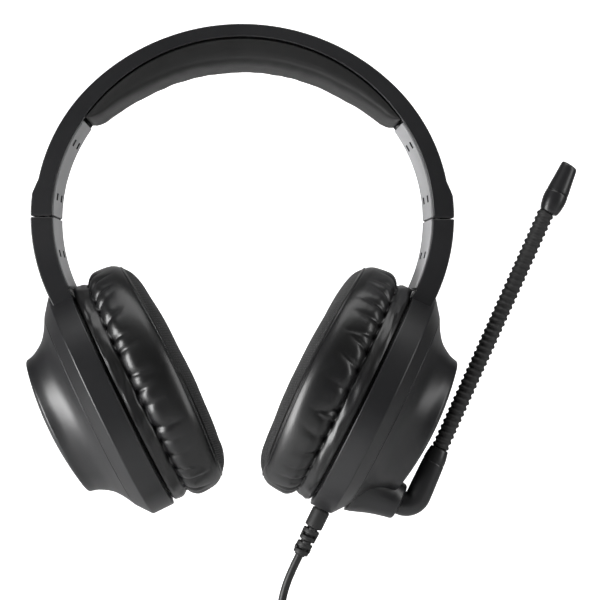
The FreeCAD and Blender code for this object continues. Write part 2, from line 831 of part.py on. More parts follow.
def cord_tube(name, route):
    """A round cord along straight runs joined by tangent arcs."""
    points = [Vector(*p) for p in route]
    edges, here, radii = [], points[0], []
    for before, corner, after in zip(points, points[1:], points[2:]):
        arc, radius = corner_arc(before, corner, after)
        radii.append(round(radius, 1))
        edges += [Part.LineSegment(here, arc.StartPoint).toShape(), arc.toShape()]
        here = arc.EndPoint
    edges.append(Part.LineSegment(here, points[-1]).toShape())
    line = Part.Wire(edges)
    section = math.pi * (dim("cord_diameter") / 2) ** 2
    ring = Part.Circle(points[0], points[1] - points[0], dim("cord_diameter") / 2)
    tube = line.makePipeShell([Part.Wire([ring.toShape()])], True, False)
    thing = doc.addObject("Part::Feature", name)
    thing.Shape = tube
    print(name, "radii", radii, "length", round(line.Length, 1), "volume ratio",
          round(tube.Volume / (section * line.Length), 3))
    return keep(thing, name)


cord_tube("cord_lead", LEAD_ROUTE)
cord_tube("cord_tail", TAIL_ROUTE)
coil = doc.addObject("Part::Torus", "coil")
bind(coil, "Radius1", "coil_radius")
bind(coil, "Radius2", "coil_bundle")
coil.Placement = Placement(COIL_CENTRE, Rotation(Vector(1, 0, 0), 90))
keep(coil, "cord_coil")
tie_at = COIL_CENTRE + Vector(-4.5, 0, dim("coil_radius"))
tie_in = dim("coil_bundle") + 0.95
tie = turned(
    "tie", [(tie_in, 0), (tie_in + 1.1, 0), (tie_in + 1.1, 9.0), (tie_in, 9.0)],
    Placement(tie_at, Rotation(Vector(0, 1, 0), 90)),
)
keep(tie, "cord_tie")

plug_place = Placement(Vector(*TAIL_ROUTE[-1]), Rotation(Vector(0, 0, 1), Vector(0, 0, -1)))
GRIP_LONG = 22.0
grip = turned(
    "grip",
    [(0, 0), (2.4, 0), (3.0, 6.0), (4.0, 8.0), (4.1, 18.0), (3.6, 20.0), (3.2, GRIP_LONG), (0, GRIP_LONG)],
    plug_place,
)
keep(grip, "plug_grip")
jack = dim("plug_radius")
contacts = [
    [(0, 0.05), (jack, 0.05), (jack, 4.6), (0, 4.6)],
    [(0, 5.2), (jack, 5.2), (jack, 7.4), (0, 7.4)],
    [(0, 8.0), (jack, 8.0), (jack, 10.0), (0, 10.0)],
    [(0, 10.6), (jack, 10.6), (1.3, 11.6), (1.55, 12.4), (0.6, 14.0), (0, 14.0)],
]
tip_place = plug_place.multiply(Placement(Vector(0, 0, GRIP_LONG), Rotation()))
turned_contacts = [turned(f"contact{i}", profile, tip_place) for i, profile in enumerate(contacts)]
keep(group("contacts", turned_contacts), "plug_contacts")
rings = [rod(f"insulator{i}", jack, 0.5, tip_place.multiply(Placement(Vector(0, 0, z), Rotation())))
         for i, z in enumerate((4.65, 7.45, 10.05))]
keep(group("insulators", rings), "plug_insulators")

# ---------------------------------------------------------------- checks and export

doc.recompute()
for thing in doc.Objects:
    if {"Invalid", "Error"} & set(thing.State):
        raise RuntimeError(f"{thing.Label} failed: {thing.State}")
os.makedirs("parts", exist_ok=True)
for thing in pieces:
    if thing.Shape.isNull() or not thing.Shape.isValid():
        raise RuntimeError(f"{thing.Label} has no valid shape")
    thing.Shape.exportStep(f"parts/{thing.Label}.step")
print(len(pieces), "pieces")
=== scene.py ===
import json
import math
import random

import bmesh
import bpy
from mathutils import Matrix, Quaternion, Vector
from mathutils import noise as ripple


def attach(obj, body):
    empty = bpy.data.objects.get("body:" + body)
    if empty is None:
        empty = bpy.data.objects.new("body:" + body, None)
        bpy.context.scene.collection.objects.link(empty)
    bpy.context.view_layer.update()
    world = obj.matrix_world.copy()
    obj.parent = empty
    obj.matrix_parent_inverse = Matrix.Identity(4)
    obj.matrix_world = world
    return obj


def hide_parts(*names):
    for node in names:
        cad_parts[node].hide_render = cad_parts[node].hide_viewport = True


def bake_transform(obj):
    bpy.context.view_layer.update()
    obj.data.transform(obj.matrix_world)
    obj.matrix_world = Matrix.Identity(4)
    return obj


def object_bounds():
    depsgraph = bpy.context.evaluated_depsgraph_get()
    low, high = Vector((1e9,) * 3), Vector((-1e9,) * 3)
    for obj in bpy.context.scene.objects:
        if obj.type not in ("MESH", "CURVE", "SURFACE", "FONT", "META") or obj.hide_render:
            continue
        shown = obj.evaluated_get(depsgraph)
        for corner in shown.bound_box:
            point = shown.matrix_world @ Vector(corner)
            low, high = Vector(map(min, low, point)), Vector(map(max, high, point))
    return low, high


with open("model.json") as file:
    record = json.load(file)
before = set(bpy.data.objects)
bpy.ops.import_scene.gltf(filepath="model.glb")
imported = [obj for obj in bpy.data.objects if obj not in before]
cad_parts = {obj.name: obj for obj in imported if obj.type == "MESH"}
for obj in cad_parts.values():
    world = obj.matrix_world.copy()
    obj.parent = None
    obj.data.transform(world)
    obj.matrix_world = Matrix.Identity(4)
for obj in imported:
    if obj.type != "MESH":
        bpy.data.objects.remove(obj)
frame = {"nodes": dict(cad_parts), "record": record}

# %% [markdown]
# # A wired gaming headset, finished piece by piece round its CAD frame
# The frame holds the working parts at their true size, in metres, and each one already rides on its
# body. The lesson adds what the eye and the hand notice: rounded edges, gathered leatherette, a ribbed
# gooseneck, a wound cord, and a finish on every surface. The box of the bare frame is kept, because the
# finished headset may only stand a little proud of it.

# %% Keep the frame's nodes and its box
MM = 0.001
nodes = frame["nodes"]
cad_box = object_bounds()
print("frame box", [[round(x, 4) for x in corner] for corner in cad_box])

# %% [markdown]
# ## Camera
# The headset is seen from straight in front, as a catalogue shows it. A camera 0.7 m away with a long
# lens keeps the near and far edges of the cups about the same size. It looks a little to one side of the
# middle, which leaves room for the microphone, and it is rolled by a fifth of a degree because the
# headset hangs that little bit crooked.

# %% The camera
CAMERA_AWAY = 0.700
CAMERA_HIGH = -0.0989
YAW = math.radians(1.96)
ROLL = math.radians(0.2)


def into_scene(name, data):
    """Makes an object of some data and links it into the scene."""
    thing = bpy.data.objects.new(name, data)
    bpy.context.scene.collection.objects.link(thing)
    return thing


camera_data = bpy.data.cameras.new("camera")
camera_data.lens = 100
camera_data.sensor_width = 36
camera_data.clip_end = 20
camera = into_scene("camera", camera_data)
camera.location = (0, -CAMERA_AWAY, CAMERA_HIGH)
look = Vector((math.sin(YAW), math.cos(YAW), 0)).to_track_quat("-Z", "Y")
camera.rotation_mode = "QUATERNION"
camera.rotation_quaternion = look @ Quaternion((0, 0, 1), ROLL)
bpy.context.scene.camera = camera
print("camera", tuple(camera.location), "lens", camera_data.lens)

# %% [markdown]
# ## Floor and light
# A product like this is lit by large soft boxes in a white room. A pale floor that sweeps up into a wall
# has no line where they meet. One long box stands at each side and a third hangs above and in front;
# black plastic shows little but the reflections of these, so their size matters more than their power.
# The paper and the room look white to the camera, but light the headset only a little, or its blacks
# would turn grey.

# %% The floor sweep
FLOOR_DROP = 0.25
FLOOR_Z = cad_box[0][2] - FLOOR_DROP
FLOOR_HALF, FLOOR_FRONT = 6, -3
WALL_Y, WALL_TOP = 1.6, 3.5
SWEEP = 0.8
STEPS = 12


def grow(mesh, ring):
    """Extrudes a ring of edges, and gives the new vertices and the new ring."""
    grown = bmesh.ops.extrude_edge_only(mesh, edges=ring)["geom"]
    return ([v for v in grown if isinstance(v, bmesh.types.BMVert)],
            [e for e in grown if isinstance(e, bmesh.types.BMEdge)])


sweep = bmesh.new()
ends = [sweep.verts.new((x, FLOOR_FRONT, FLOOR_Z)) for x in (-FLOOR_HALF, FLOOR_HALF)]
line = [sweep.edges.new(ends)]
path = [(WALL_Y - SWEEP, FLOOR_Z)]
for step in range(1, STEPS + 1):
    turn = math.pi / 2 * step / STEPS
    path.append((WALL_Y - SWEEP + SWEEP * math.sin(turn), FLOOR_Z + SWEEP * (1 - math.cos(turn))))
path.append((WALL_Y, WALL_TOP))
here = (FLOOR_FRONT, FLOOR_Z)
for there in path:
    moved, line = grow(sweep, line)
    bmesh.ops.translate(sweep, verts=moved, vec=(0, there[0] - here[0], there[1] - here[1]))
    here = there
floor_mesh = bpy.data.meshes.new("floor")
sweep.to_mesh(floor_mesh)
sweep.free()
floor_mesh.shade_smooth()
floor = into_scene("floor", floor_mesh)
print("floor sweep", len(floor_mesh.polygons), "faces")

# %% The paper


def shader_of(finish):
    return finish.node_tree.nodes["Principled BSDF"]


paper = bpy.data.materials.new("paper")
paper.use_nodes = True
shader_of(paper).inputs["Base Color"].default_value = (0.9, 0.9, 0.9, 1)
shader_of(paper).inputs["Roughness"].default_value = 0.9
shader_of(paper).inputs["Emission Color"].default_value = (1, 1, 1, 1)
glow = paper.node_tree.nodes.new("ShaderNodeLightPath")
paper.node_tree.links.new(glow.outputs["Is Camera Ray"], shader_of(paper).inputs["Emission Strength"])
floor_mesh.materials.append(paper)

# %% The lights and the room


def soft_box(name, at, towards, size, power):
    """A rectangular soft light that faces a point."""
    data = bpy.data.lights.new(name, "AREA")
    data.shape = "RECTANGLE"
    data.size, data.size_y = size
    data.energy = power
    lamp = into_scene(name, data)
    lamp.location = at
    lamp.rotation_mode = "QUATERNION"
    lamp.rotation_quaternion = (Vector(towards) - Vector(at)).to_track_quat("-Z", "Y")
    return lamp


MIDDLE = (0.02, 0, -0.10)
soft_box("box_left", (-0.90, -0.45, -0.22), MIDDLE, (0.45, 0.7), 17)
soft_box("box_right", (0.95, -0.50, 0.12), MIDDLE, (0.3, 0.9), 5)
soft_box("box_above", (0.0, -0.25, 0.80), MIDDLE, (0.9, 0.5), 5)

ROOM_LIGHT = 0.10
world = bpy.data.worlds.new("room")
bpy.context.scene.world = world
world.use_nodes = True
background = world.node_tree.nodes["Background"]
background.inputs["Color"].default_value = (1, 1, 1, 1)
seen = world.node_tree.nodes.new("ShaderNodeLightPath")
room = world.node_tree.nodes.new("ShaderNodeMapRange")
room.inputs["To Min"].default_value = ROOM_LIGHT
world.node_tree.links.new(seen.outputs["Is Camera Ray"], room.inputs["Value"])
world.node_tree.links.new(room.outputs["Result"], background.inputs["Strength"])
bpy.context.scene.view_settings.view_transform = "Standard"

# %% [markdown]
# ## Finishes
# Every finish is a Principled shader with three things laid over it: a slow change of shade, because no
# moulding is one flat colour; an uneven gloss, because handling polishes it in places; and a fine grain
# that only bends the light. All three read Object coordinates, which are metres here, so the scale of a
# noise is in waves per metre and the grain has its true size.

# %% A finish with shade, gloss and grain


def new_finish(name, colour, rough, metal=0.0, specular=0.5, coat=0.0, coat_rough=0.1):
    finish = bpy.data.materials.new(name)
    finish.use_nodes = True
    shader = shader_of(finish)
    shader.inputs["Base Color"].default_value = (*colour, 1)
    shader.inputs["Roughness"].default_value = rough
    shader.inputs["Metallic"].default_value = metal
    shader.inputs["Specular IOR Level"].default_value = specular
    shader.inputs["Coat Weight"].default_value = coat
    shader.inputs["Coat Roughness"].default_value = coat_rough
    return finish


def add_node(finish, kind, **values):
    node = finish.node_tree.nodes.new(kind)
    for name, value in values.items():
        if name in node.inputs:
            node.inputs[name].default_value = value
        else:
            setattr(node, name, value)
    return node


def join(finish, out, into):
    finish.node_tree.links.new(out, into)


def noise(finish, scale, detail=2.0, stretch=(1, 1, 1)):
    """A noise on Object coordinates, in waves per metre."""
    place = add_node(finish, "ShaderNodeTexCoord")
    mapping = add_node(finish, "ShaderNodeMapping", Scale=stretch)
    wave = add_node(finish, "ShaderNodeTexNoise", Scale=scale, Detail=detail)
    join(finish, place.outputs["Object"], mapping.inputs["Vector"])
    join(finish, mapping.outputs["Vector"], wave.inputs["Vector"])
    return wave.outputs["Fac"]


def shade(finish, fac, dark, light, low=0.35, high=0.65):
    """The base colour runs from one colour to another with a pattern."""
    ramp = add_node(finish, "ShaderNodeValToRGB")
    ramp.color_ramp.elements[0].position = low
    ramp.color_ramp.elements[0].color = (*dark, 1)
    ramp.color_ramp.elements[1].position = high
    ramp.color_ramp.elements[1].color = (*light, 1)
    join(finish, fac, ramp.inputs["Fac"])
    join(finish, ramp.outputs["Color"], shader_of(finish).inputs["Base Color"])


def gloss(finish, fac, low, high):
    """The roughness runs between two values with a pattern."""
    spread = add_node(finish, "ShaderNodeMapRange")
    spread.inputs["To Min"].default_value = low
    spread.inputs["To Max"].default_value = high
    join(finish, fac, spread.inputs["Value"])
    join(finish, spread.outputs["Result"], shader_of(finish).inputs["Roughness"])


def grain(finish, fac, depth, strength=1.0):
    """A bump of a given depth in metres, laid over any bump that is there already."""
    shader = shader_of(finish)
    bump = add_node(finish, "ShaderNodeBump", Distance=depth, Strength=strength)
    join(finish, fac, bump.inputs["Height"])
    if shader.inputs["Normal"].links:
        join(finish, shader.inputs["Normal"].links[0].from_socket, bump.inputs["Normal"])
    join(finish, bump.outputs["Normal"], shader.inputs["Normal"])


# %% [markdown]
# ### Moulded plastic
# The shells are charcoal ABS with a spark-eroded satin texture. Under a glancing light the texture
# sparkles very slightly, so its bump is a fine noise of a hundredth of a millimetre. The rail covers and
# the frames inside are the same plastic in other colours and with a duller face.

# %% The plastics


def moulded(name, dark, light, rough, depth=0.00001):
    finish = new_finish(name, dark, rough)
    shade(finish, noise(finish, 22), dark, light)
    gloss(finish, noise(finish, 60, 3), rough - 0.05, rough + 0.05)
    grain(finish, noise(finish, 2600, 3), depth)
    return finish


satin_charcoal = moulded("satin_charcoal", (0.0085, 0.0085, 0.0095), (0.012, 0.012, 0.013), 0.36)
inner_black = moulded("inner_black", (0.008, 0.008, 0.008), (0.012, 0.012, 0.012), 0.55)
print("plastics made")

# %% [markdown]
# ### Leatherette
# The cushions are covered in a thin glossy polyurethane leatherette. Its grain is a field of soft pebbles
# about four tenths of a millimetre across, which a Voronoi pattern gives. The gloss belongs to a clear
# skin over the colour, so the shader gets a coat. The crown pad's leatherette is duller and has none.

# %% The leatherette


def pebbles(finish, scale):
    place = add_node(finish, "ShaderNodeTexCoord")
    cells = add_node(finish, "ShaderNodeTexVoronoi", Scale=scale)
    join(finish, place.outputs["Object"], cells.inputs["Vector"])
    return cells.outputs["Distance"]


leatherette = new_finish("leatherette", (0.004, 0.004, 0.004), 0.34, specular=0.4, coat=0.22, coat_rough=0.2)
shade(leatherette, noise(leatherette, 35), (0.003, 0.003, 0.003), (0.006, 0.006, 0.0065))
gloss(leatherette, noise(leatherette, 90, 3), 0.30, 0.46)
grain(leatherette, pebbles(leatherette, 2600), 0.00002)

crown_leatherette = new_finish("crown_leatherette", (0.010, 0.010, 0.010), 0.5)
shade(crown_leatherette, noise(crown_leatherette, 35), (0.003, 0.003, 0.003), (0.006, 0.006, 0.006))
gloss(crown_leatherette, noise(crown_leatherette, 90, 3), 0.42, 0.58)
grain(crown_leatherette, pebbles(crown_leatherette, 2200), 0.00003)

# %% [markdown]
# ### Cloth, rubber, cord and metal
# The face of each ear cushion and the speaker's cover are knitted mesh: two crossed waves dent the
# surface at the pitch of the knit. Rubber is dull and a little dusty. The cord has a satin PVC jacket, and
# the metal parts are spring steel and bright brass plating.

# %% Cloth


def crossed_waves(finish, scale):
    """Two sets of stripes across each other, as threads in a knit."""
    place = add_node(finish, "ShaderNodeTexCoord")
    heights = []
    for direction in ("Y", "Z"):
        wave = add_node(finish, "ShaderNodeTexWave", Scale=scale, bands_direction=direction)
        join(finish, place.outputs["Object"], wave.inputs["Vector"])
        heights.append(wave.outputs["Fac"])
    both = add_node(finish, "ShaderNodeMath", operation="MULTIPLY")
    join(finish, heights[0], both.inputs[0])
    join(finish, heights[1], both.inputs[1])
    return both.outputs[0]


ear_mesh = new_finish("ear_mesh", (0.020, 0.020, 0.021), 0.85)
knit = crossed_waves(ear_mesh, 330)
shade(ear_mesh, knit, (0.004, 0.004, 0.004), (0.022, 0.022, 0.023), 0.1, 0.8)
grain(ear_mesh, knit, 0.00015)
shader_of(ear_mesh).inputs["Sheen Weight"].default_value = 0.08

speaker_cloth = new_finish("speaker_cloth", (0.010, 0.010, 0.010), 0.9)
threads = crossed_waves(speaker_cloth, 420)
shade(speaker_cloth, threads, (0.004, 0.004, 0.004), (0.022, 0.022, 0.022), 0.1, 0.8)
grain(speaker_cloth, threads, 0.00012)

# %% Rubber and cord


def rubbery(name, dark, light, rough, depth=0.00002):
    finish = new_finish(name, dark, rough, specular=0.4)
    shade(finish, noise(finish, 40), dark, light)
    gloss(finish, noise(finish, 120, 3), rough - 0.06, rough + 0.06)
    grain(finish, noise(finish, 3200, 2), depth)
    return finish


ribbed_rubber = rubbery("ribbed_rubber", (0.012, 0.012, 0.012), (0.018, 0.018, 0.018), 0.55)
relief_rubber = rubbery("relief_rubber", (0.014, 0.014, 0.014), (0.019, 0.019, 0.019), 0.55)
cord_jacket = rubbery("cord_jacket", (0.014, 0.014, 0.014), (0.019, 0.019, 0.019), 0.42)

# %% Metals, grey covers and the small parts inside


def metallic(name, dark, light, rough, stretch):
    """A drawn or turned metal, whose gloss is streaked along its length."""
    finish = new_finish(name, dark, rough, metal=1.0)
    shade(finish, noise(finish, 30), dark, light)
    gloss(finish, noise(finish, 500, 3, stretch), rough - 0.06, rough + 0.10)
    grain(finish, noise(finish, 900, 2, stretch), 0.000005)
    return finish


spring_steel = metallic("spring_steel", (0.42, 0.42, 0.43), (0.55, 0.55, 0.56), 0.28, (1, 6, 0.4))
brass_plating = metallic("brass_plating", (0.70, 0.52, 0.25), (0.80, 0.62, 0.33), 0.18, (1, 1, 8))
rail_cover = moulded("rail_cover", (0.26, 0.26, 0.265), (0.36, 0.36, 0.37), 0.40, 0.00002)
cone_film = moulded("cone_film", (0.10, 0.10, 0.09), (0.16, 0.16, 0.14), 0.35)
board_green = moulded("board_green", (0.010, 0.055, 0.025), (0.015, 0.080, 0.035), 0.40)

# %% [markdown]
# ## The parts that keep their CAD shape
# Guides, springs, speakers and screws sit inside or show only a rim, and their CAD shape is already what
# a maker would mould or stamp. They stay, and only take a finish. One table says which finish goes with
# which material slot of the record.

# %% Finish the CAD nodes by slot
SLOT_FINISH = {
    "black_plastic": satin_charcoal,
    "inner_plastic": inner_black,
    "grey_plastic": rail_cover,
    "leatherette": leatherette,
    "cloth": speaker_cloth,
    "cone_film": cone_film,
    "steel": spring_steel,
    "plated_brass": brass_plating,
    "board": board_green,
    "gooseneck_rubber": ribbed_rubber,
    "moulded_rubber": relief_rubber,
    "cord_rubber": cord_jacket,
}
node_slot = {row["node"]: row["material_slot"] for row in frame["record"]["subparts"]}


def dress(piece, finish):
    """Gives a piece its finish. Clearing also forgets which faces use a second finish."""
    if len(piece.data.materials):
        piece.data.materials.clear()
    piece.data.materials.append(finish)


for name, node in nodes.items():
    dress(node, SLOT_FINISH[node_slot[name]])
print(len(nodes), "nodes finished")

# %% [markdown]
# ## Making new pieces
# A piece is shaped in a bmesh, in the frame where it is simplest, and then moved to its place, so that
# its object stays at the origin. Three shapes make nearly everything here: an outline turned about an
# axis, an oval drawn out through several sizes, and a section swept along the arch of the headband.

# %% Turn a bmesh into a piece


def close_up(mesh, reach=0.000002):
    """Merges doubled vertices, then points every face outwards."""
    bmesh.ops.remove_doubles(mesh, verts=mesh.verts, dist=reach)
    bmesh.ops.recalc_face_normals(mesh, faces=mesh.faces)


def roll_edges(mesh, width, sharp=25, segments=3, wanted=None):
    """Rolls over every edge that is sharper than an angle."""
    limit = math.radians(sharp)
    edges = [e for e in mesh.edges if e.is_manifold and e.calc_face_angle() > limit]
    if wanted:
        edges = [e for e in edges if wanted(e)]
    bmesh.ops.bevel(
        mesh, geom=edges, offset=width, offset_type="OFFSET", affect="EDGES", segments=segments,
        profile=0.5, material=-1, clamp_overlap=True,
    )


def new_piece(name, mesh, place, body, finish, slot, *replaced):
    """Turns a bmesh into a finished piece that rides on a body and stands for some nodes."""
    data = bpy.data.meshes.new(name)
    bmesh.ops.transform(mesh, matrix=place, verts=mesh.verts)
    mesh.to_mesh(data)
    mesh.free()
    data.shade_smooth()
    piece = into_scene(name, data)
    dress(piece, finish)
    if body:
        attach(piece, body)
    if replaced:
        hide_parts(*replaced)
    print(name, len(data.polygons), "faces")
    return piece


def even_shading(piece):
    """Large flat faces keep their own normals, so that only the rolled edges look round."""
    weighted = piece.modifiers.new("even_shading", "WEIGHTED_NORMAL")
    weighted.keep_sharp = True
    weighted.weight = 80


def black_moulding(name, mesh, place, body, node):
    """A satin moulding with evenly shaded flat faces, which most of the black parts are."""
    even_shading(new_piece(name, mesh, place, body, satin_charcoal, "black_plastic", node))


# %% Turn an outline about Z


def turned(outline, segments=64):
    """A bmesh turned about Z from (radius, height) points in millimetres."""
    mesh = bmesh.new()
    line = [mesh.verts.new((radius * MM, 0, height * MM)) for radius, height in outline]
    edges = [mesh.edges.new(pair) for pair in zip(line, line[1:])]
    bmesh.ops.spin(
        mesh, geom=line + edges, cent=(0, 0, 0), axis=(0, 0, 1), angle=math.tau, steps=segments,
        use_merge=True, use_duplicate=False,
    )
    close_up(mesh)
    return mesh


# %% Draw an oval out through several sizes


def curve_through(rows, steps):
    """More rows on a smooth curve through the ones given, with steps spans between each two."""
    found = []
    for i in range(len(rows) - 1):
        before, here, there, after = (rows[min(max(i + k, 0), len(rows) - 1)] for k in (-1, 0, 1, 2))
        for step in range(steps):
            t = step / steps
            found.append(tuple(
                0.5 * (2 * b + (c - a) * t + (2 * a - 5 * b + 4 * c - d) * t ** 2
                       + (3 * b - a - 3 * c + d) * t ** 3)
                for a, b, c, d in zip(before, here, there, after)
            ))
    return found + [tuple(rows[-1])]


def oval_loft(rows, segments=128):
    """A bmesh through ovals given as (height, long half, short half) in millimetres."""
    mesh = bmesh.new()
    bmesh.ops.create_circle(mesh, segments=segments, radius=MM)
    ring = list(mesh.edges)
    moved = list(mesh.verts)
    before = (0, 1, 1)
    for number, row in enumerate(rows):
        if number:
            moved, ring = grow(mesh, ring)
        bmesh.ops.scale(mesh, verts=moved, vec=(row[2] / before[2], row[1] / before[1], 1))
        bmesh.ops.translate(mesh, verts=moved, vec=(0, 0, (row[0] - before[0]) * MM))
        before = row
    return mesh


# %% [markdown]
# ## Where the cups, the arch and the boom are
# The ear cups lean in at the bottom and toe in a little at the front, as on a head. Each has its own
# frame: Y up its long axis, Z outwards, the origin in the plane where the cushion seats. The arch of the
# headband has a crown arc between two side arcs that meet it smoothly, so one angle, the direction that
# the surface faces, finds a point on it.

# %% The cup frame
CUP_X, CUP_Z = 50.5 * MM, -139 * MM
CUP_LEAN, TOE_IN = math.radians(26), math.radians(2.5)
SIDES = {"left": 1, "right": -1}


def frame_of(across, up, out, origin):
    placed = Matrix((across, up, out)).transposed().to_4x4()
    placed.translation = origin
    return placed


def cup_frame(side):
    up = Vector((side * math.sin(CUP_LEAN), 0, math.cos(CUP_LEAN)))
    flat = Vector((side * math.cos(CUP_LEAN), 0, -math.sin(CUP_LEAN)))
    out = flat * math.cos(TOE_IN) + Vector((0, -1, 0)) * math.sin(TOE_IN)
    return frame_of(up.cross(out), up, out, (side * CUP_X, 0, CUP_Z))


# %% The arch
ARC_X, ARC_Z = 10.0, -65.0


def facing(degrees):
    """The way that the arch's surface faces, at an angle above +X."""
    turn = math.radians(degrees)
    return Vector((math.cos(turn), 0, math.sin(turn)))


def side_point(radius, degrees, y):
    """A point on or near the side arc on +X, in millimetres."""
    turn = math.radians(degrees)
    return Vector((ARC_X + radius * math.cos(turn), y, ARC_Z + radius * math.sin(turn)))


def arch_point(top, side_radius, degrees):
    """A point of the arch in millimetres, where it faces an angle above +X."""
    turn = math.radians(degrees)
    rise = top - side_radius - ARC_Z
    extra = (ARC_X ** 2 + rise ** 2) / (2 * rise)
    meet = math.degrees(math.atan2(extra - rise, ARC_X))
    if degrees < meet:
        centre, radius = (ARC_X, ARC_Z), side_radius
    elif degrees > 180 - meet:
        centre, radius = (-ARC_X, ARC_Z), side_radius
    else:
        centre, radius = (0, top - side_radius - extra), side_radius + extra
    return Vector((centre[0] + radius * math.cos(turn), 0, centre[1] + radius * math.sin(turn)))


def swept(section, angles):
    """A closed bmesh swept over the arch: section(angle) gives its corner points, in millimetres."""
    mesh = bmesh.new()
    loop = [mesh.verts.new(p * MM) for p in section(angles[0])]
    ring = [mesh.edges.new(pair) for pair in zip(loop, loop[1:] + loop[:1])]
    first = loop
    for angle in angles[1:]:
        moved, ring = grow(mesh, ring)
        moved = set(moved)
        loop = [next(e.other_vert(v) for e in v.link_edges if e.other_vert(v) in moved) for v in loop]
        for vert, point in zip(loop, section(angle)):
            vert.co = point * MM
    mesh.faces.new(first)
    mesh.faces.new(loop)
    close_up(mesh)
    return mesh


def spread(low, high, count):
    return [low + (high - low) * i / count for i in range(count + 1)]


# %% [markdown]
# ## The headband shell
# The shell is one long moulding, a channel open towards the head, and it thickens over the last
# centimetre where the size adjuster enters. Its section changes all the way, so it is swept and not
# bent. The long edges are then rolled over.

# %% The headband shell
BAND_HALF, WALL = 18.5, 1.8
CROWN_TOP, CROWN_IN = 14.0, 8.8
SIDE_OUT, SIDE_IN, END_OUT = 75.0, 68.0, 76.6
BUMP_LOW, BUMP_HIGH = 6.8, 11.5


def shell_radius(degrees):
    """The outer side radius: larger over the last centimetre, then a short ramp."""
    from_end = min(degrees, 180 - degrees)
    ramp = min(max((BUMP_HIGH - from_end) / (BUMP_HIGH - BUMP_LOW), 0), 1)
    return SIDE_OUT + (END_OUT - SIDE_OUT) * ramp


def shell_section(degrees):
    plain = arch_point(CROWN_TOP, SIDE_OUT, degrees)
    outer = plain + facing(degrees) * (shell_radius(degrees) - SIDE_OUT)
    inner = arch_point(CROWN_IN, SIDE_IN, degrees)
    roof = plain - facing(degrees) * WALL
    half, gap = Vector((0, BAND_HALF, 0)), Vector((0, BAND_HALF - WALL, 0))
    return [outer - half, outer + half, inner + half, inner + gap, roof + gap, roof - gap,
            inner - gap, inner - half]


def on_long_side(edge):
    """Whether an edge starts on one of the two long sides of the band."""
    return abs(abs(edge.verts[0].co.y) - BAND_HALF * MM) < 0.01 * MM


band_angles = sorted(set(spread(0, 180, 120) + [BUMP_LOW, BUMP_HIGH, 180 - BUMP_HIGH, 180 - BUMP_LOW]))
mesh = swept(shell_section, band_angles)
roll_edges(mesh, 0.5 * MM, wanted=on_long_side)
black_moulding("headband_shell_moulding", mesh, Matrix(), "headband", "headband_shell")

# %% [markdown]
# ## The cup housing
# Each housing is an oval ring in one moulding with the arm that hangs it from the headband. The ring is
# lofted with its chamfer and its hollow; the arm is swept down the side arc, with the shallow recess for
# the grey cover, trimmed where the cushion and the driver are, and joined to the ring by a boolean.

# %% A boolean between two bmeshes


def combine(first, second, operation):
    """first joined with, or cut by, second; both are used up."""
    made = []
    for mesh in (first, second):
        data = bpy.data.meshes.new("combining")
        mesh.to_mesh(data)
        mesh.free()
        made.append(into_scene("combining", data))
    step = made[0].modifiers.new("combine", "BOOLEAN")
    step.object, step.operation, step.solver = made[1], operation, "EXACT"
    bpy.context.view_layer.update()
    done = made[0].evaluated_get(bpy.context.evaluated_depsgraph_get())
    mesh = bmesh.new()
    mesh.from_mesh(done.data)
    for thing in made:
        bpy.data.objects.remove(thing)
    for edge in mesh.edges:
        edge.smooth = not edge.is_manifold or edge.calc_face_angle() < math.radians(35)
    return mesh


# %% The ring and the arm
RING_LONG, RING_SHORT, RING_DEEP = 50.3, 42.0, 14.4
BEVEL_UP, BEVEL_IN = 4.9, 6.3
RING_WALL = 2.3
HOLLOW_LONG, HOLLOW_SHORT = RING_LONG - RING_WALL, RING_SHORT - RING_WALL
MOUTH_LONG, MOUTH_SHORT, MOUTH_SEAT = 41.5, 33.0, 9.0
ARM_IN, ARM_OUT, ARM_RECESS = 67.7, 76.6, 1.7
ARM_END = -31.0
SEAM_GAP = 0.35
DRIVER_ROOM = (-14, 13, HOLLOW_LONG - 1, HOLLOW_SHORT - 1)
CUSHION_ROOM = (-40, 0, 53.5, 45.5)


def ring_mesh():
    rows = [
        (0, HOLLOW_LONG, HOLLOW_SHORT), (0, RING_LONG, RING_SHORT),
        (RING_DEEP - BEVEL_UP, RING_LONG, RING_SHORT),
        (RING_DEEP, RING_LONG - BEVEL_IN, RING_SHORT - BEVEL_IN),
        (RING_DEEP, MOUTH_LONG, MOUTH_SHORT), (MOUTH_SEAT, MOUTH_LONG, MOUTH_SHORT),
        (MOUTH_SEAT, HOLLOW_LONG, HOLLOW_SHORT), (0, HOLLOW_LONG, HOLLOW_SHORT),
    ]
    mesh = oval_loft(rows)
    close_up(mesh)
    roll_edges(mesh, 0.45 * MM)
    return mesh


def arm_mesh(side):
    """The arm on +X, as wide as the band and with its recess, mirrored for the other side."""
    def section(degrees):
        half, gap = BAND_HALF, BAND_HALF - WALL
        corners = [(ARM_OUT, -half), (ARM_OUT, half), (ARM_IN, half), (ARM_IN, gap),
                   (ARM_IN + ARM_RECESS, gap), (ARM_IN + ARM_RECESS, -gap), (ARM_IN, -gap), (ARM_IN, -half)]
        return [side_point(radius, degrees, y) for radius, y in corners]

    mesh = swept(section, spread(-SEAM_GAP, ARM_END, 24))
    roll_edges(mesh, 0.5 * MM, wanted=on_long_side)
    if side < 0:
        bmesh.ops.scale(mesh, verts=mesh.verts, vec=(-1, 1, 1))
        bmesh.ops.reverse_faces(mesh, faces=mesh.faces)
    return mesh


def slab(low, high, long, short):
    """A solid oval between two heights."""
    mesh = oval_loft([(low, long, short), (high, long, short)])
    bmesh.ops.holes_fill(mesh, edges=[e for e in mesh.edges if e.is_boundary], sides=0)
    close_up(mesh)
    return mesh


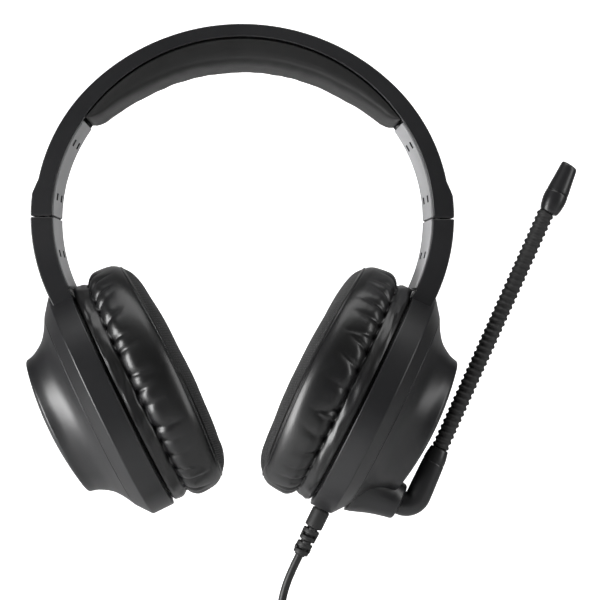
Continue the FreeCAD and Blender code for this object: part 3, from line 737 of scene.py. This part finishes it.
for name, side in SIDES.items():
    arm = arm_mesh(side)
    for cut in (DRIVER_ROOM, CUSHION_ROOM):
        tool = slab(*cut)
        bmesh.ops.transform(tool, matrix=cup_frame(side), verts=tool.verts)
        arm = combine(arm, tool, "DIFFERENCE")
    ring = ring_mesh()
    bmesh.ops.transform(ring, matrix=cup_frame(side), verts=ring.verts)
    whole = combine(ring, arm, "UNION")
    black_moulding(f"{name}_housing_moulding", whole, Matrix(), f"{name}_cup", f"{name}_cup_housing")

# %% [markdown]
# ## The flared covers
# A cover closes each cup from outside: wide where it meets the ring, waisted, and ending in a gently
# domed oval face with a rolled rim. The flare is one smooth curve through five ovals, and the face
# follows a sphere, so its rim dips at the two ends of the oval.

# %% The flared covers
FLARE = [(14.5, 43.8, 35.5), (17.2, 38.9, 32.0), (20.6, 34.7, 29.0), (25.4, 31.6, 26.6), (28.6, 30.6, 25.7)]
FACE_RADIUS, FACE_TOP = 130.0, 33.1
FACE_RIM = (30.3, 25.5)
RIM_HEIGHT = 30.0
FACE_RINGS = 10
COVER_WALL = 2.0


def face_height(x, y):
    return FACE_TOP - FACE_RADIUS + math.sqrt(FACE_RADIUS ** 2 - x * x - y * y)


def cover_mesh():
    rows = curve_through(FLARE, 8)
    flare_rows = len(rows)
    sizes = [1 - i / FACE_RINGS for i in range(FACE_RINGS)] + [0.02]
    rows += [(FACE_TOP, FACE_RIM[0] * size, FACE_RIM[1] * size) for size in sizes]
    mesh = oval_loft(rows)
    segments = len(mesh.verts) // len(rows)
    for number, vert in enumerate(mesh.verts):
        row = number // segments
        if row >= flare_rows:
            vert.co.z = face_height(vert.co.x / MM, vert.co.y / MM) * MM
        else:
            lift = (face_height(vert.co.x / MM, vert.co.y / MM) - RIM_HEIGHT) * (row / flare_rows) ** 3
            vert.co.z += lift * MM
    top = [e for e in mesh.edges if e.is_boundary and e.verts[0].co.z > RIM_HEIGHT * MM]
    bmesh.ops.holes_fill(mesh, edges=top, sides=0)
    close_up(mesh)
    roll_edges(mesh, 0.8 * MM, sharp=35, segments=4,
               wanted=lambda edge: edge.verts[0].co.z > (RIM_HEIGHT - 1) * MM)
    bmesh.ops.solidify(mesh, geom=mesh.faces, thickness=COVER_WALL * MM)
    return mesh


for name, side in SIDES.items():
    new_piece(f"{name}_cover_moulding", cover_mesh(), cup_frame(side), f"{name}_cup", satin_charcoal,
              "black_plastic", f"{name}_cap")

# %% [markdown]
# ## The grey rail covers
# Inside the band and the arm a thin grey cover hides the size adjuster. It is a strip bent along the
# side arc with pairs of short slots that let the springs of the adjuster click in. The strip is swept
# with enough columns for the slots to have faces of their own; those are pushed in and take painted shade.

# %% The rail covers
COVER_IN, COVER_HALF = 67.3, 16.5
COLUMNS = [-COVER_HALF, -10.0, -5.0, 5.0, 10.0, COVER_HALF]
SLOT_COLUMNS = (1, 3)
SLOT_LONG, SLOT_DEEP = 2.4, 1.4
# The slots' finish is painted shade: a near-black colour on the slot faces, where the slots fall into
# shadow.
slot_painted_shade = moulded("slot_painted_shade", (0.006, 0.006, 0.006), (0.010, 0.010, 0.010), 0.7)


def rail_cover_mesh(side, low, high, thick, slots):
    """A strip between two angles, with a pair of slots pushed in at each angle of slots."""
    angles = sorted({low, high, *slots, *(at + SLOT_LONG for at in slots), *spread(low, high, 24)})

    def section(degrees):
        inner = [side_point(COVER_IN, degrees, y) for y in COLUMNS]
        return inner + [side_point(COVER_IN + thick, degrees, y) for y in (COVER_HALF, -COVER_HALF)]

    mesh = swept(section, angles)
    pushed = []
    for face in mesh.faces:
        middle = face.calc_center_median() / MM
        turn = math.degrees(math.atan2(middle.z - ARC_Z, middle.x - ARC_X))
        radius = math.hypot(middle.z - ARC_Z, middle.x - ARC_X)
        column = next((i for i in SLOT_COLUMNS if COLUMNS[i] < middle.y < COLUMNS[i + 1]), None)
        if column is None or radius > COVER_IN + 0.5:
            continue
        if any(at < turn < at + SLOT_LONG for at in slots):
            pushed.append(face)
    grown = bmesh.ops.extrude_face_region(mesh, geom=pushed)["geom"]
    bmesh.ops.delete(mesh, geom=pushed, context="FACES")
    for vert in (thing for thing in grown if isinstance(thing, bmesh.types.BMVert)):
        outwards = Vector((vert.co.x - ARC_X * MM, 0, vert.co.z - ARC_Z * MM)).normalized()
        vert.co += outwards * SLOT_DEEP * MM
        for face in vert.link_faces:
            # These faces take the second finish, the painted shade of the slots.
            face.material_index = 1
    if side < 0:
        bmesh.ops.scale(mesh, verts=mesh.verts, vec=(-1, 1, 1))
    close_up(mesh)
    roll_edges(mesh, 0.15 * MM, sharp=40, segments=2)
    return mesh


for name, side in SIDES.items():
    for part, body, low, high, thick, slots in (
        ("band", "headband", 0.3, 35.2, 2.2, (6.0, 26.0)),
        ("arm", f"{name}_cup", -25.2, -SEAM_GAP, 2.0, (-14.0,)),
    ):
        mesh = rail_cover_mesh(side, low, high, thick, slots)
        cover = new_piece(f"{name}_{part}_rail_cover", mesh, Matrix(), body, rail_cover, "grey_plastic",
                          f"{name}_{part}_liner")
        cover.data.materials.append(slot_painted_shade)
        even_shading(cover)

# %% [markdown]
# ## The ear cushions
# A ring of foam in a leatherette cover that is gathered at its seam. The cover is cut longer than the
# seam that it is sewn to, so it puckers there into pleats, close together and uneven, that die out
# towards the ear. Below the seam a crinkled skirt tucks into the groove of the cup, and a thin piping
# runs round where the cover meets the mesh that touches the ear. The cushion is thickest half way up.
# The pleats are shaped one by one and not by a cloth simulation: the cover is an oval loft whose vertices
# are drawn in along each crease, and every pleat has its own place, depth, length and slant.

# %% The section of a cushion
SEAM = -7.5
PIPING = -25.9
COVER_ROWS = [
    (-4.0, 31.0, 23.0), (-3.4, 40.0, 32.0), (-1.6, 46.4, 38.1), (-0.8, 47.6, 39.3), (-1.2, 48.7, 40.4),
    (-2.6, 49.2, 40.9), (-4.8, 49.0, 40.7), (-6.5, 48.4, 40.1), (SEAM, 47.7, 39.4), (-8.2, 48.6, 40.2),
    (-9.6, 49.8, 41.4), (-12.2, 50.9, 42.5), (-15.6, 51.3, 42.9), (-19.0, 51.2, 42.8), (-22.2, 50.6, 42.2),
    (-24.6, 49.4, 41.0), (PIPING + 0.5, 48.6, 40.2), (PIPING, 48.7, 40.3), (PIPING - 0.5, 48.0, 39.6),
]
FACE_ROWS = [
    (-26.6, 47.4, 39.0), (-28.6, 44.6, 36.2), (-29.8, 40.6, 32.3), (-30.1, 36.8, 28.6), (-29.6, 33.4, 25.3),
    (-27.8, 31.0, 22.9), (-24.6, 29.8, 21.7), (-18.0, 29.4, 21.3), (-10.0, 29.8, 21.7), (-5.0, 30.6, 22.5),
    (-4.0, 31.0, 23.0),
]
CUSHION_SEGMENTS = 480
ROW_STEPS = 4
THINNER_ENDS = 0.10
END_AT = 46.0
OVAL_LONG, OVAL_SHORT = 50, 42


# %% Pleats
PLEATS = 38
PLEAT_DEEP = 2.4


def new_pleats(seed):
    """Angle, depth, length and slant of each pleat round the seam."""
    chance = random.Random(seed)
    found = []
    for number in range(PLEATS):
        angle = math.tau * (number + chance.uniform(-0.24, 0.24)) / PLEATS
        deep, long = chance.uniform(0.6, 1.0), chance.uniform(8.0, 16.0)
        found.append((angle, deep, long, chance.uniform(-0.008, 0.008)))
    return found


def pleat_depth(pleats, angle, below):
    """How far the cover is drawn in: most at each crease, nothing on the round fold between two."""
    places = [at + slant * below for at, deep, long, slant in pleats]
    angle = (angle - places[0]) % math.tau + places[0]
    here = max(i for i, place in enumerate(places) if place <= angle)
    there = (here + 1) % PLEATS
    gap = (places[there] - places[here]) % math.tau
    part = (angle - places[here]) / gap
    deep, long = pleats[here if part < 0.5 else there][1:3]
    fade = max(1 - below / long, 0)
    return deep * fade ** 1.5 * (1 - math.sin(math.pi * min(part, 1))) ** 1.6


# %% Make the cushions


def make_cushion(name, side, seed):
    cover_rows = curve_through(COVER_ROWS, ROW_STEPS)
    mesh = oval_loft(cover_rows + curve_through(FACE_ROWS, ROW_STEPS), CUSHION_SEGMENTS)
    pleats = new_pleats(seed)
    for vert in mesh.verts:
        x, y, z = vert.co / MM
        outward = Vector((x / OVAL_SHORT ** 2, y / OVAL_LONG ** 2, 0)).normalized()
        angle = math.atan2(y / OVAL_LONG, x / OVAL_SHORT)
        outside = math.hypot(x / OVAL_SHORT, y / OVAL_LONG) > 0.9
        if z < SEAM:
            z *= 1 - THINNER_ENDS * (y / END_AT) ** 2 * min((SEAM - z) / 10, 1)
        if outside and z < SEAM + 0.3:
            below = max(SEAM - z, 0)
            puff = 0.6 * math.exp(-(below - 3.0) ** 2 / 10)
            inwards = PLEAT_DEEP * pleat_depth(pleats, angle, below) - puff
            inwards += 0.30 * ripple.noise(Vector((x, y, z * 1.5)) * 0.06 + Vector((seed, 0, 0)))
            x, y = x - outward.x * inwards, y - outward.y * inwards
        elif outside and z < -2.2:
            crinkle = ripple.noise(Vector((x * 0.13, y * 0.13 + z * 0.1, z * 0.35)) + Vector((0, seed, 0)))
            x, y = x - outward.x * 0.6 * crinkle, y - outward.y * 0.6 * crinkle
        elif not outside:
            z += 0.35 * ripple.noise(Vector((x, y, z)) * 0.07 + Vector((0, 0, seed)))
        vert.co = Vector((x, y, z)) * MM
    cover_verts = len(cover_rows) * CUSHION_SEGMENTS
    mesh.verts.index_update()
    for face in mesh.faces:
        face.material_index = int(min(v.index for v in face.verts) >= cover_verts)
    close_up(mesh, 0.00005)
    cushion = new_piece(f"{name}_cushion_cover", mesh, cup_frame(side), f"{name}_cup", leatherette,
                        "leatherette", f"{name}_ear_cushion")
    cushion.data.materials.append(ear_mesh)


make_cushion("left", 1, 3)
make_cushion("right", -1, 8)

# %% [markdown]
# ## The crown pad
# A long foam pad in a duller leatherette hangs under the crown of the shell. It is swept, because it is
# long and bent: its section is a plump, squarish oval that closes in a short curve at each end. A slow
# ripple over its underside stands for the soft creases of the cover.

# %% Make the crown pad
PAD_HALF = 18.1
PAD_FROM, PAD_TO = 35.6, 144.4
PAD_NOSE = 4.0
PAD_SAG = 1.9
UNDER_RADIUS = 86.8
PAD_SECTION = 28
PAD_ALONG = 150


def pad_thickness(degrees):
    """From the crown of the shell down to the flatter arc of the pad's underside, closing at the ends."""
    from_centre = arch_point(CROWN_IN, SIDE_IN, degrees) - Vector((0, 0, -UNDER_RADIUS))
    reach = from_centre.dot(facing(degrees))
    thick = reach - math.sqrt(reach ** 2 - from_centre.length_squared + UNDER_RADIUS ** 2)
    from_end = min(degrees - PAD_FROM, PAD_TO - degrees)
    thick += PAD_SAG * min(from_end / 20, 1) ** 0.6
    from_end = min(from_end / PAD_NOSE, 1)
    return thick * math.sqrt(1 - (1 - from_end) ** 2) + 0.02


def pad_section(degrees):
    top = arch_point(CROWN_IN, SIDE_IN, degrees)
    thick = pad_thickness(degrees)
    points = []
    for number in range(PAD_SECTION):
        turn = math.tau * number / PAD_SECTION
        across, up = math.cos(turn), math.sin(turn)
        square = 0.12 if up > 0 else 0.4
        across = math.copysign(abs(across) ** square, across)
        up = math.copysign(abs(up) ** (0.3 if up > 0 else 0.65), up)
        y = PAD_HALF * across * (1 - 0.02 * (1 - up))
        deep = 0.05 + thick * (1 - up) / 2
        crease = 0.25 * ripple.noise(Vector((degrees * 0.30, y * 0.12, deep * 0.1)))
        deep += (0.25 + crease) * min(thick / 8, 1) * (1 - up) / 2
        points.append(top - facing(degrees) * deep + Vector((0, y, 0)))
    return points


mesh = swept(pad_section, spread(PAD_FROM, PAD_TO, PAD_ALONG))
pad = new_piece("crown_pad_cover", mesh, Matrix(), "headband", crown_leatherette, "leatherette",
                "headband_pad")

# %% [markdown]
# ## The boom
# The microphone boom turns on a conical seat low on the left cup. An elbow brings it round to point
# upwards, a collar holds the flexible part, and the flexible part carries the capsule. All are round, so
# they are turned; the bend of the elbow is a circle spun a quarter turn about the bend's own axis.

# %% The boom frame
PIVOT_DOWN, BOSS_END = 33.3, 33.6
ELBOW_BEND, ELBOW_RADIUS, ELBOW_LONG = 5.6, 5.2, 15.6
KNEE_Z = BOSS_END + 0.3
BOOM_LEAN = math.radians(1.8)
BOOM_LINE = Vector((0, math.cos(BOOM_LEAN), -math.sin(BOOM_LEAN)))
BEND_END = Vector((0, ELBOW_BEND * (1 + math.sin(BOOM_LEAN)), ELBOW_BEND * math.cos(BOOM_LEAN)))
COLLAR_LONG = 6.25
GOOSE_START = ELBOW_LONG + COLLAR_LONG + 0.05
RIBS, RIB_PITCH = 14, 2.6
SLEEVES = 3
SLEEVE_LONG = RIBS * RIB_PITCH
MIC_START = GOOSE_START + SLEEVES * SLEEVE_LONG
MIC_SHIFT = -0.9

pivot_frame = cup_frame(1) @ Matrix.Translation((0, -PIVOT_DOWN * MM, 0))


def on_boom(along, inward=0.0):
    """A frame on the boom's line, Z along it, from the end of the elbow's bend."""
    across = Vector((1, 0, 0))
    start = (BEND_END + Vector((0, -PIVOT_DOWN, KNEE_Z))) * MM
    placed = frame_of(across, BOOM_LINE.cross(across), BOOM_LINE, start)
    return cup_frame(1) @ placed @ Matrix.Translation((0, inward * MM, along * MM))


# %% The conical seat, the elbow and the collar
boss = turned([
    (0.5, 14.0), (13.2, 14.0), (12.6, 16.5), (11.5, 19.5), (10.2, 23.0), (9.2, 26.5), (8.4, 30.0),
    (7.9, 32.6), (7.5, 33.3), (6.9, BOSS_END), (3.4, BOSS_END), (3.3, 33.2), (3.3, 17.0), (0.5, 17.0),
    (0.5, 14.0),
])
new_piece("boom_seat_moulding", boss, pivot_frame, "left_cup", satin_charcoal, "black_plastic", "mic_boss")

ELBOW_ROWS = [(4.0, 5.15), (9.0, 4.95), (14.8, 4.75), (15.3, 4.7), (ELBOW_LONG, 4.5)]
elbow = bmesh.new()
bmesh.ops.create_circle(elbow, segments=48, radius=ELBOW_RADIUS * MM)
spun = bmesh.ops.spin(
    elbow, geom=list(elbow.edges), cent=(0, ELBOW_BEND * MM, 0), axis=(1, 0, 0),
    angle=-(math.pi / 2 + BOOM_LEAN), steps=20,
)
ring = [e for e in spun["geom_last"] if isinstance(e, bmesh.types.BMEdge)]
for along, radius in ELBOW_ROWS:
    moved, ring = grow(elbow, ring)
    middle = sum((v.co for v in moved), Vector()) / len(moved)
    size = (moved[0].co - middle).length
    for vert in moved:
        vert.co = (BEND_END + BOOM_LINE * along) * MM + (vert.co - middle) * (radius * MM / size)
bmesh.ops.holes_fill(elbow, edges=[e for e in elbow.edges if e.is_boundary], sides=0)
close_up(elbow)
roll_edges(elbow, 0.4 * MM, sharp=50)
elbow_place = pivot_frame @ Matrix.Translation((0, 0, KNEE_Z * MM))
black_moulding("boom_elbow_moulding", elbow, elbow_place, "boom", "boom_elbow")

collar = turned([
    (0.2, 0.0), (4.55, 0.0), (4.7, 0.2), (4.65, 1.6), (4.45, 3.2), (4.15, 4.8), (3.9, 6.0),
    (3.6, COLLAR_LONG), (0.2, COLLAR_LONG), (0.2, 0.0),
])
black_moulding("boom_collar_moulding", collar, on_boom(ELBOW_LONG), "boom", "boom_collar")

# %% [markdown]
# ## The gooseneck
# The sleeve is a rubber moulding with a rounded rib every 2.6 mm over a soft wire that holds its bend.
# It is made in three lengths, each with its own wire core, laid straight end to end along the boom; they
# ride on no body.

# %% The ribbed sleeves and their wire
RIB_HIGH, RIB_LOW, SLEEVE_BORE = 3.65, 3.0, 1.5
RIB_SHAPE = [(0.0, 0.0), (0.30, 0.10), (0.55, 0.55), (0.85, 0.92), (1.20, 1.0), (1.55, 0.92), (1.85, 0.55),
             (2.15, 0.10)]


def sleeve_outline():
    outer = [(RIB_LOW + (RIB_HIGH - RIB_LOW) * high, rib * RIB_PITCH + at)
             for rib in range(RIBS) for at, high in RIB_SHAPE]
    end = [(RIB_LOW, SLEEVE_LONG), (SLEEVE_BORE, SLEEVE_LONG), (SLEEVE_BORE, 0)]
    return [(SLEEVE_BORE, 0)] + outer + end


for link in range(SLEEVES):
    start = GOOSE_START + link * SLEEVE_LONG
    low, high = (on_boom(start + along).translation for along in (0, SLEEVE_LONG))
    sleeve = new_piece(f"gooseneck_rubber_{link + 1}", turned(sleeve_outline(), 40), on_boom(start), None,
                       ribbed_rubber, "gooseneck_rubber", f"gooseneck_sleeve_{link + 1}")
    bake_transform(sleeve)
    core = [(0, 0)] + [(SLEEVE_BORE - 0.1, at) for at in spread(0, SLEEVE_LONG, RIBS)] + [(0, SLEEVE_LONG)]
    wire = new_piece(f"gooseneck_core_{link + 1}", turned(core, 16), on_boom(start), None, spring_steel,
                     "steel", f"gooseneck_wire_{link + 1}")
    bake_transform(wire)

# %% [markdown]
# ## The microphone
# The capsule is a small teardrop in two mouldings with a fine seam between them. It is widest near the
# bottom and narrows to a slanted top, where a shallow recess marks the sound opening.

# %% The capsule
MIC_SEAM, MIC_LONG = 9.3, 22.0
SLANT_FROM, SLANT = 14.0, 0.16
neck = turned([
    (0.2, 0.05), (3.3, 0.05), (3.7, 0.3), (4.1, 1.2), (4.5, 2.8), (4.85, 4.8), (4.95, 6.6), (4.85, 8.6),
    (4.75, 9.1), (4.5, MIC_SEAM - 0.02), (0.2, MIC_SEAM - 0.02), (0.2, 0.05),
])
mic_place = on_boom(MIC_START, MIC_SHIFT)
black_moulding("mic_neck_moulding", neck, mic_place, "microphone", "mic_neck")
head = turned([
    (0.2, MIC_SEAM + 0.05), (4.5, MIC_SEAM + 0.05), (4.7, MIC_SEAM + 0.25), (4.6, 11.0), (4.4, 13.0),
    (4.15, 15.5), (3.9, 18.0), (3.7, 20.4), (3.55, 21.4), (3.2, 21.9), (2.8, MIC_LONG), (2.6, 21.7),
    (2.55, 21.0), (0.2, 21.0), (0.2, MIC_SEAM + 0.05),
])
for vert in head.verts:
    if vert.co.z > SLANT_FROM * MM:
        vert.co.z += SLANT * vert.co.y * (vert.co.z / MM - SLANT_FROM) / (MIC_LONG - SLANT_FROM)
black_moulding("mic_head_moulding", head, mic_place, "microphone", "mic_head")

# %% [markdown]
# ## The strain relief
# Rubber, moulded on the cord: a plain barrel in the housing's mouth, then four rings that are joined to
# each other by small webs, turned a quarter each time, so that it bends evenly any way.

# %% The strain relief
RELIEF_START, RELIEF_Z, RELIEF_LONG = -46.2, 5.6, 25.6
FLEX_RINGS, FLEX_FROM, FLEX_PITCH = 4, 13.6, 3.1
WEB_SIZE = (1.7, 2.6, 1.5)
relief_outline = [
    (0.2, 0), (3.1, 0), (3.1, 4.3), (3.5, 4.5), (3.8, 4.8), (3.8, 12.0), (3.6, 12.5), (2.3, 12.9),
]
for ring_number in range(FLEX_RINGS):
    at, radius = FLEX_FROM + FLEX_PITCH * ring_number, 3.6 - 0.12 * ring_number
    relief_outline += [(2.3, at), (radius - 0.25, at), (radius, at + 0.3), (radius, at + 1.7),
                       (radius - 0.25, at + 2.0), (2.3, at + 2.0)]
relief_outline += [(2.2, RELIEF_LONG), (0.2, RELIEF_LONG), (0.2, 0)]
relief = turned(relief_outline, 48)
for gap in range(FLEX_RINGS):
    at = FLEX_FROM - 0.35 + FLEX_PITCH * gap - (0.0 if gap else 0.05)
    for half_turn in (0, 1):
        turn = Matrix.Rotation(math.pi / 2 * (gap % 2) + math.pi * half_turn, 4, "Z")
        shift = Matrix.Translation((2.6 * MM, 0, at * MM))
        web = bmesh.ops.create_cube(relief, size=MM, matrix=turn @ shift)["verts"]
        bmesh.ops.scale(relief, verts=web, vec=WEB_SIZE, space=(turn @ shift).inverted())
relief_place = cup_frame(1) @ Matrix.Translation((0, RELIEF_START * MM, RELIEF_Z * MM))
relief_place = relief_place @ Matrix.Rotation(math.pi / 2, 4, "X")
relief_piece = new_piece("strain_relief_moulding", relief, relief_place, "left_cup", relief_rubber,
                         "moulded_rubber", "strain_relief")
even_shading(relief_piece)

# %% [markdown]
# ## The cord
# A little over two metres of round PVC lead, 3.4 mm thick. A short stretch hangs from the strain relief;
# the rest is put away in a tied coil just below, and a short tail ends in the plug. The hanging route is
# a list of given points, the coil is worked out turn by turn, and all of it is one smooth spline.
# In the coil the turns lie beside and on each other: each has its own place in the bundle's section, and
# the cord steps from one place to the next once every turn.

# %% The route
CORD_THICK = 3.4 * MM
LEAD_ROUTE = [(24.05, -0.24, -205.99), (20.4, -0.1, -213.4), (17.4, 0.2, -222.0), (15.8, 0.2, -231.6)]
INTO_COIL = [(15.2, 0.0, -239.0), (12.6, -1.5, -243.6)]
OUT_OF_COIL = [(5.4, 8.2, -266.0), (3.4, 8.4, -275.0), (2.6, 6.0, -284.0), (2.8, 2.0, -291.0)]
TAIL_END = (3.2, 0.0, -298.0)
COIL_AT = (24.6, 0.0, -267.0)
COIL_RADIUS = 19.5
PLACES = [
    (6.2, -5.2), (6.2, -1.7), (6.2, 1.7), (6.2, 5.2), (3.1, 3.5), (3.1, 0.0), (3.1, -3.5), (0.0, -5.2),
    (0.0, -1.7), (0.0, 1.7), (0.0, 5.2), (-3.1, 3.5), (-3.1, 0.0), (-3.1, -3.5), (-6.2, -1.7), (-6.2, 1.7),
]
TURN_POINTS = 18
COIL_FROM = 125
STEP_SHARE = 0.25


def coil_points():
    """Points round the coil: each turn holds its place, then steps over to the next one."""
    found = []
    whole = len(PLACES) * TURN_POINTS
    for number in range(whole - 2):
        turn, part = divmod(number, TURN_POINTS)
        share = max(part / TURN_POINTS - (1 - STEP_SHARE), 0) / STEP_SHARE
        ease = share * share * (3 - 2 * share)
        here, there = PLACES[turn], PLACES[min(turn + 1, len(PLACES) - 1)]
        radius = COIL_RADIUS + here[0] + (there[0] - here[0]) * ease
        aside = here[1] + (there[1] - here[1]) * ease
        angle = math.radians(COIL_FROM + 360 * number / TURN_POINTS)
        found.append((COIL_AT[0] + radius * math.cos(angle), COIL_AT[1] + aside,
                      COIL_AT[2] + radius * math.sin(angle)))
    return found


cord_points = LEAD_ROUTE + INTO_COIL + coil_points() + OUT_OF_COIL + [TAIL_END]
cord_curve = bpy.data.curves.new("audio_cord", "CURVE")
cord_curve.dimensions = "3D"
spline = cord_curve.splines.new("NURBS")
spline.points.add(len(cord_points) - 1)
for point, place in zip(spline.points, cord_points):
    point.co = (*(Vector(place) * MM), 1)
spline.order_u = 3
spline.use_endpoint_u = True
spline.resolution_u = 4
cord_curve.bevel_depth = CORD_THICK / 2
cord_curve.bevel_resolution = 4
cord_curve.use_fill_caps = True
cord = into_scene("audio_cord", cord_curve)
dress(cord, cord_jacket)
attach(cord, "left_cup")
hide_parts("cord_lead", "cord_coil", "cord_tail")

steps = list(zip(cord_points, cord_points[1:]))
print("control line", round(sum((Vector(b) - Vector(a)).length for a, b in steps) * MM, 3), "m")

# %% [markdown]
# The tie round the coil is a soft band, and the plug's grip is moulded rubber with a knurl of long ribs.
# Both are turned, and the ribs are a wave in the radius over the thickest part of the grip.

# %% The tie and the plug
tie = turned([(8.3, 0.4), (8.5, 0), (9.4, 0), (9.7, 0.4), (9.7, 8.6), (9.4, 9.0), (8.5, 9.0), (8.3, 8.6),
              (8.3, 0.4)], 48)
tie_place = Matrix.Translation(((COIL_AT[0] - 4.5) * MM, 0, (COIL_AT[2] + COIL_RADIUS) * MM))
tie_place = tie_place @ Matrix.Rotation(math.pi / 2, 4, "Y")
tie_piece = new_piece("coil_tie", tie, tie_place, "left_cup", relief_rubber, "moulded_rubber", "cord_tie")

KNURL_FROM, KNURL_TO, KNURL_RADIUS = 8.5, 17.5, 4
KNURL_RIBS, KNURL_DEEP = 16, 0.03
grip = turned([
    (0.2, 0), (2.1, 0), (2.4, 0.4), (2.7, 3.0), (3.0, 5.8), (3.6, 7.2), (4.0, 8.0), (4.15, 9.0),
    (4.15, 17.2), (4.0, 18.2), (3.6, 20.0), (3.3, 21.5), (3.0, 22.0), (0.2, 22.0), (0.2, 0),
], 48)
for vert in grip.verts:
    if KNURL_FROM * MM < vert.co.z < KNURL_TO * MM and vert.co.xy.length > KNURL_RADIUS * MM:
        turn = math.atan2(vert.co.y, vert.co.x)
        vert.co.xy *= 1 + KNURL_DEEP * math.cos(KNURL_RIBS * turn)
grip_place = Matrix.Translation(Vector(TAIL_END) * MM) @ Matrix.Rotation(math.pi, 4, "X")
grip_piece = new_piece("plug_grip_moulding", grip, grip_place, "left_cup", relief_rubber, "moulded_rubber",
                       "plug_grip")
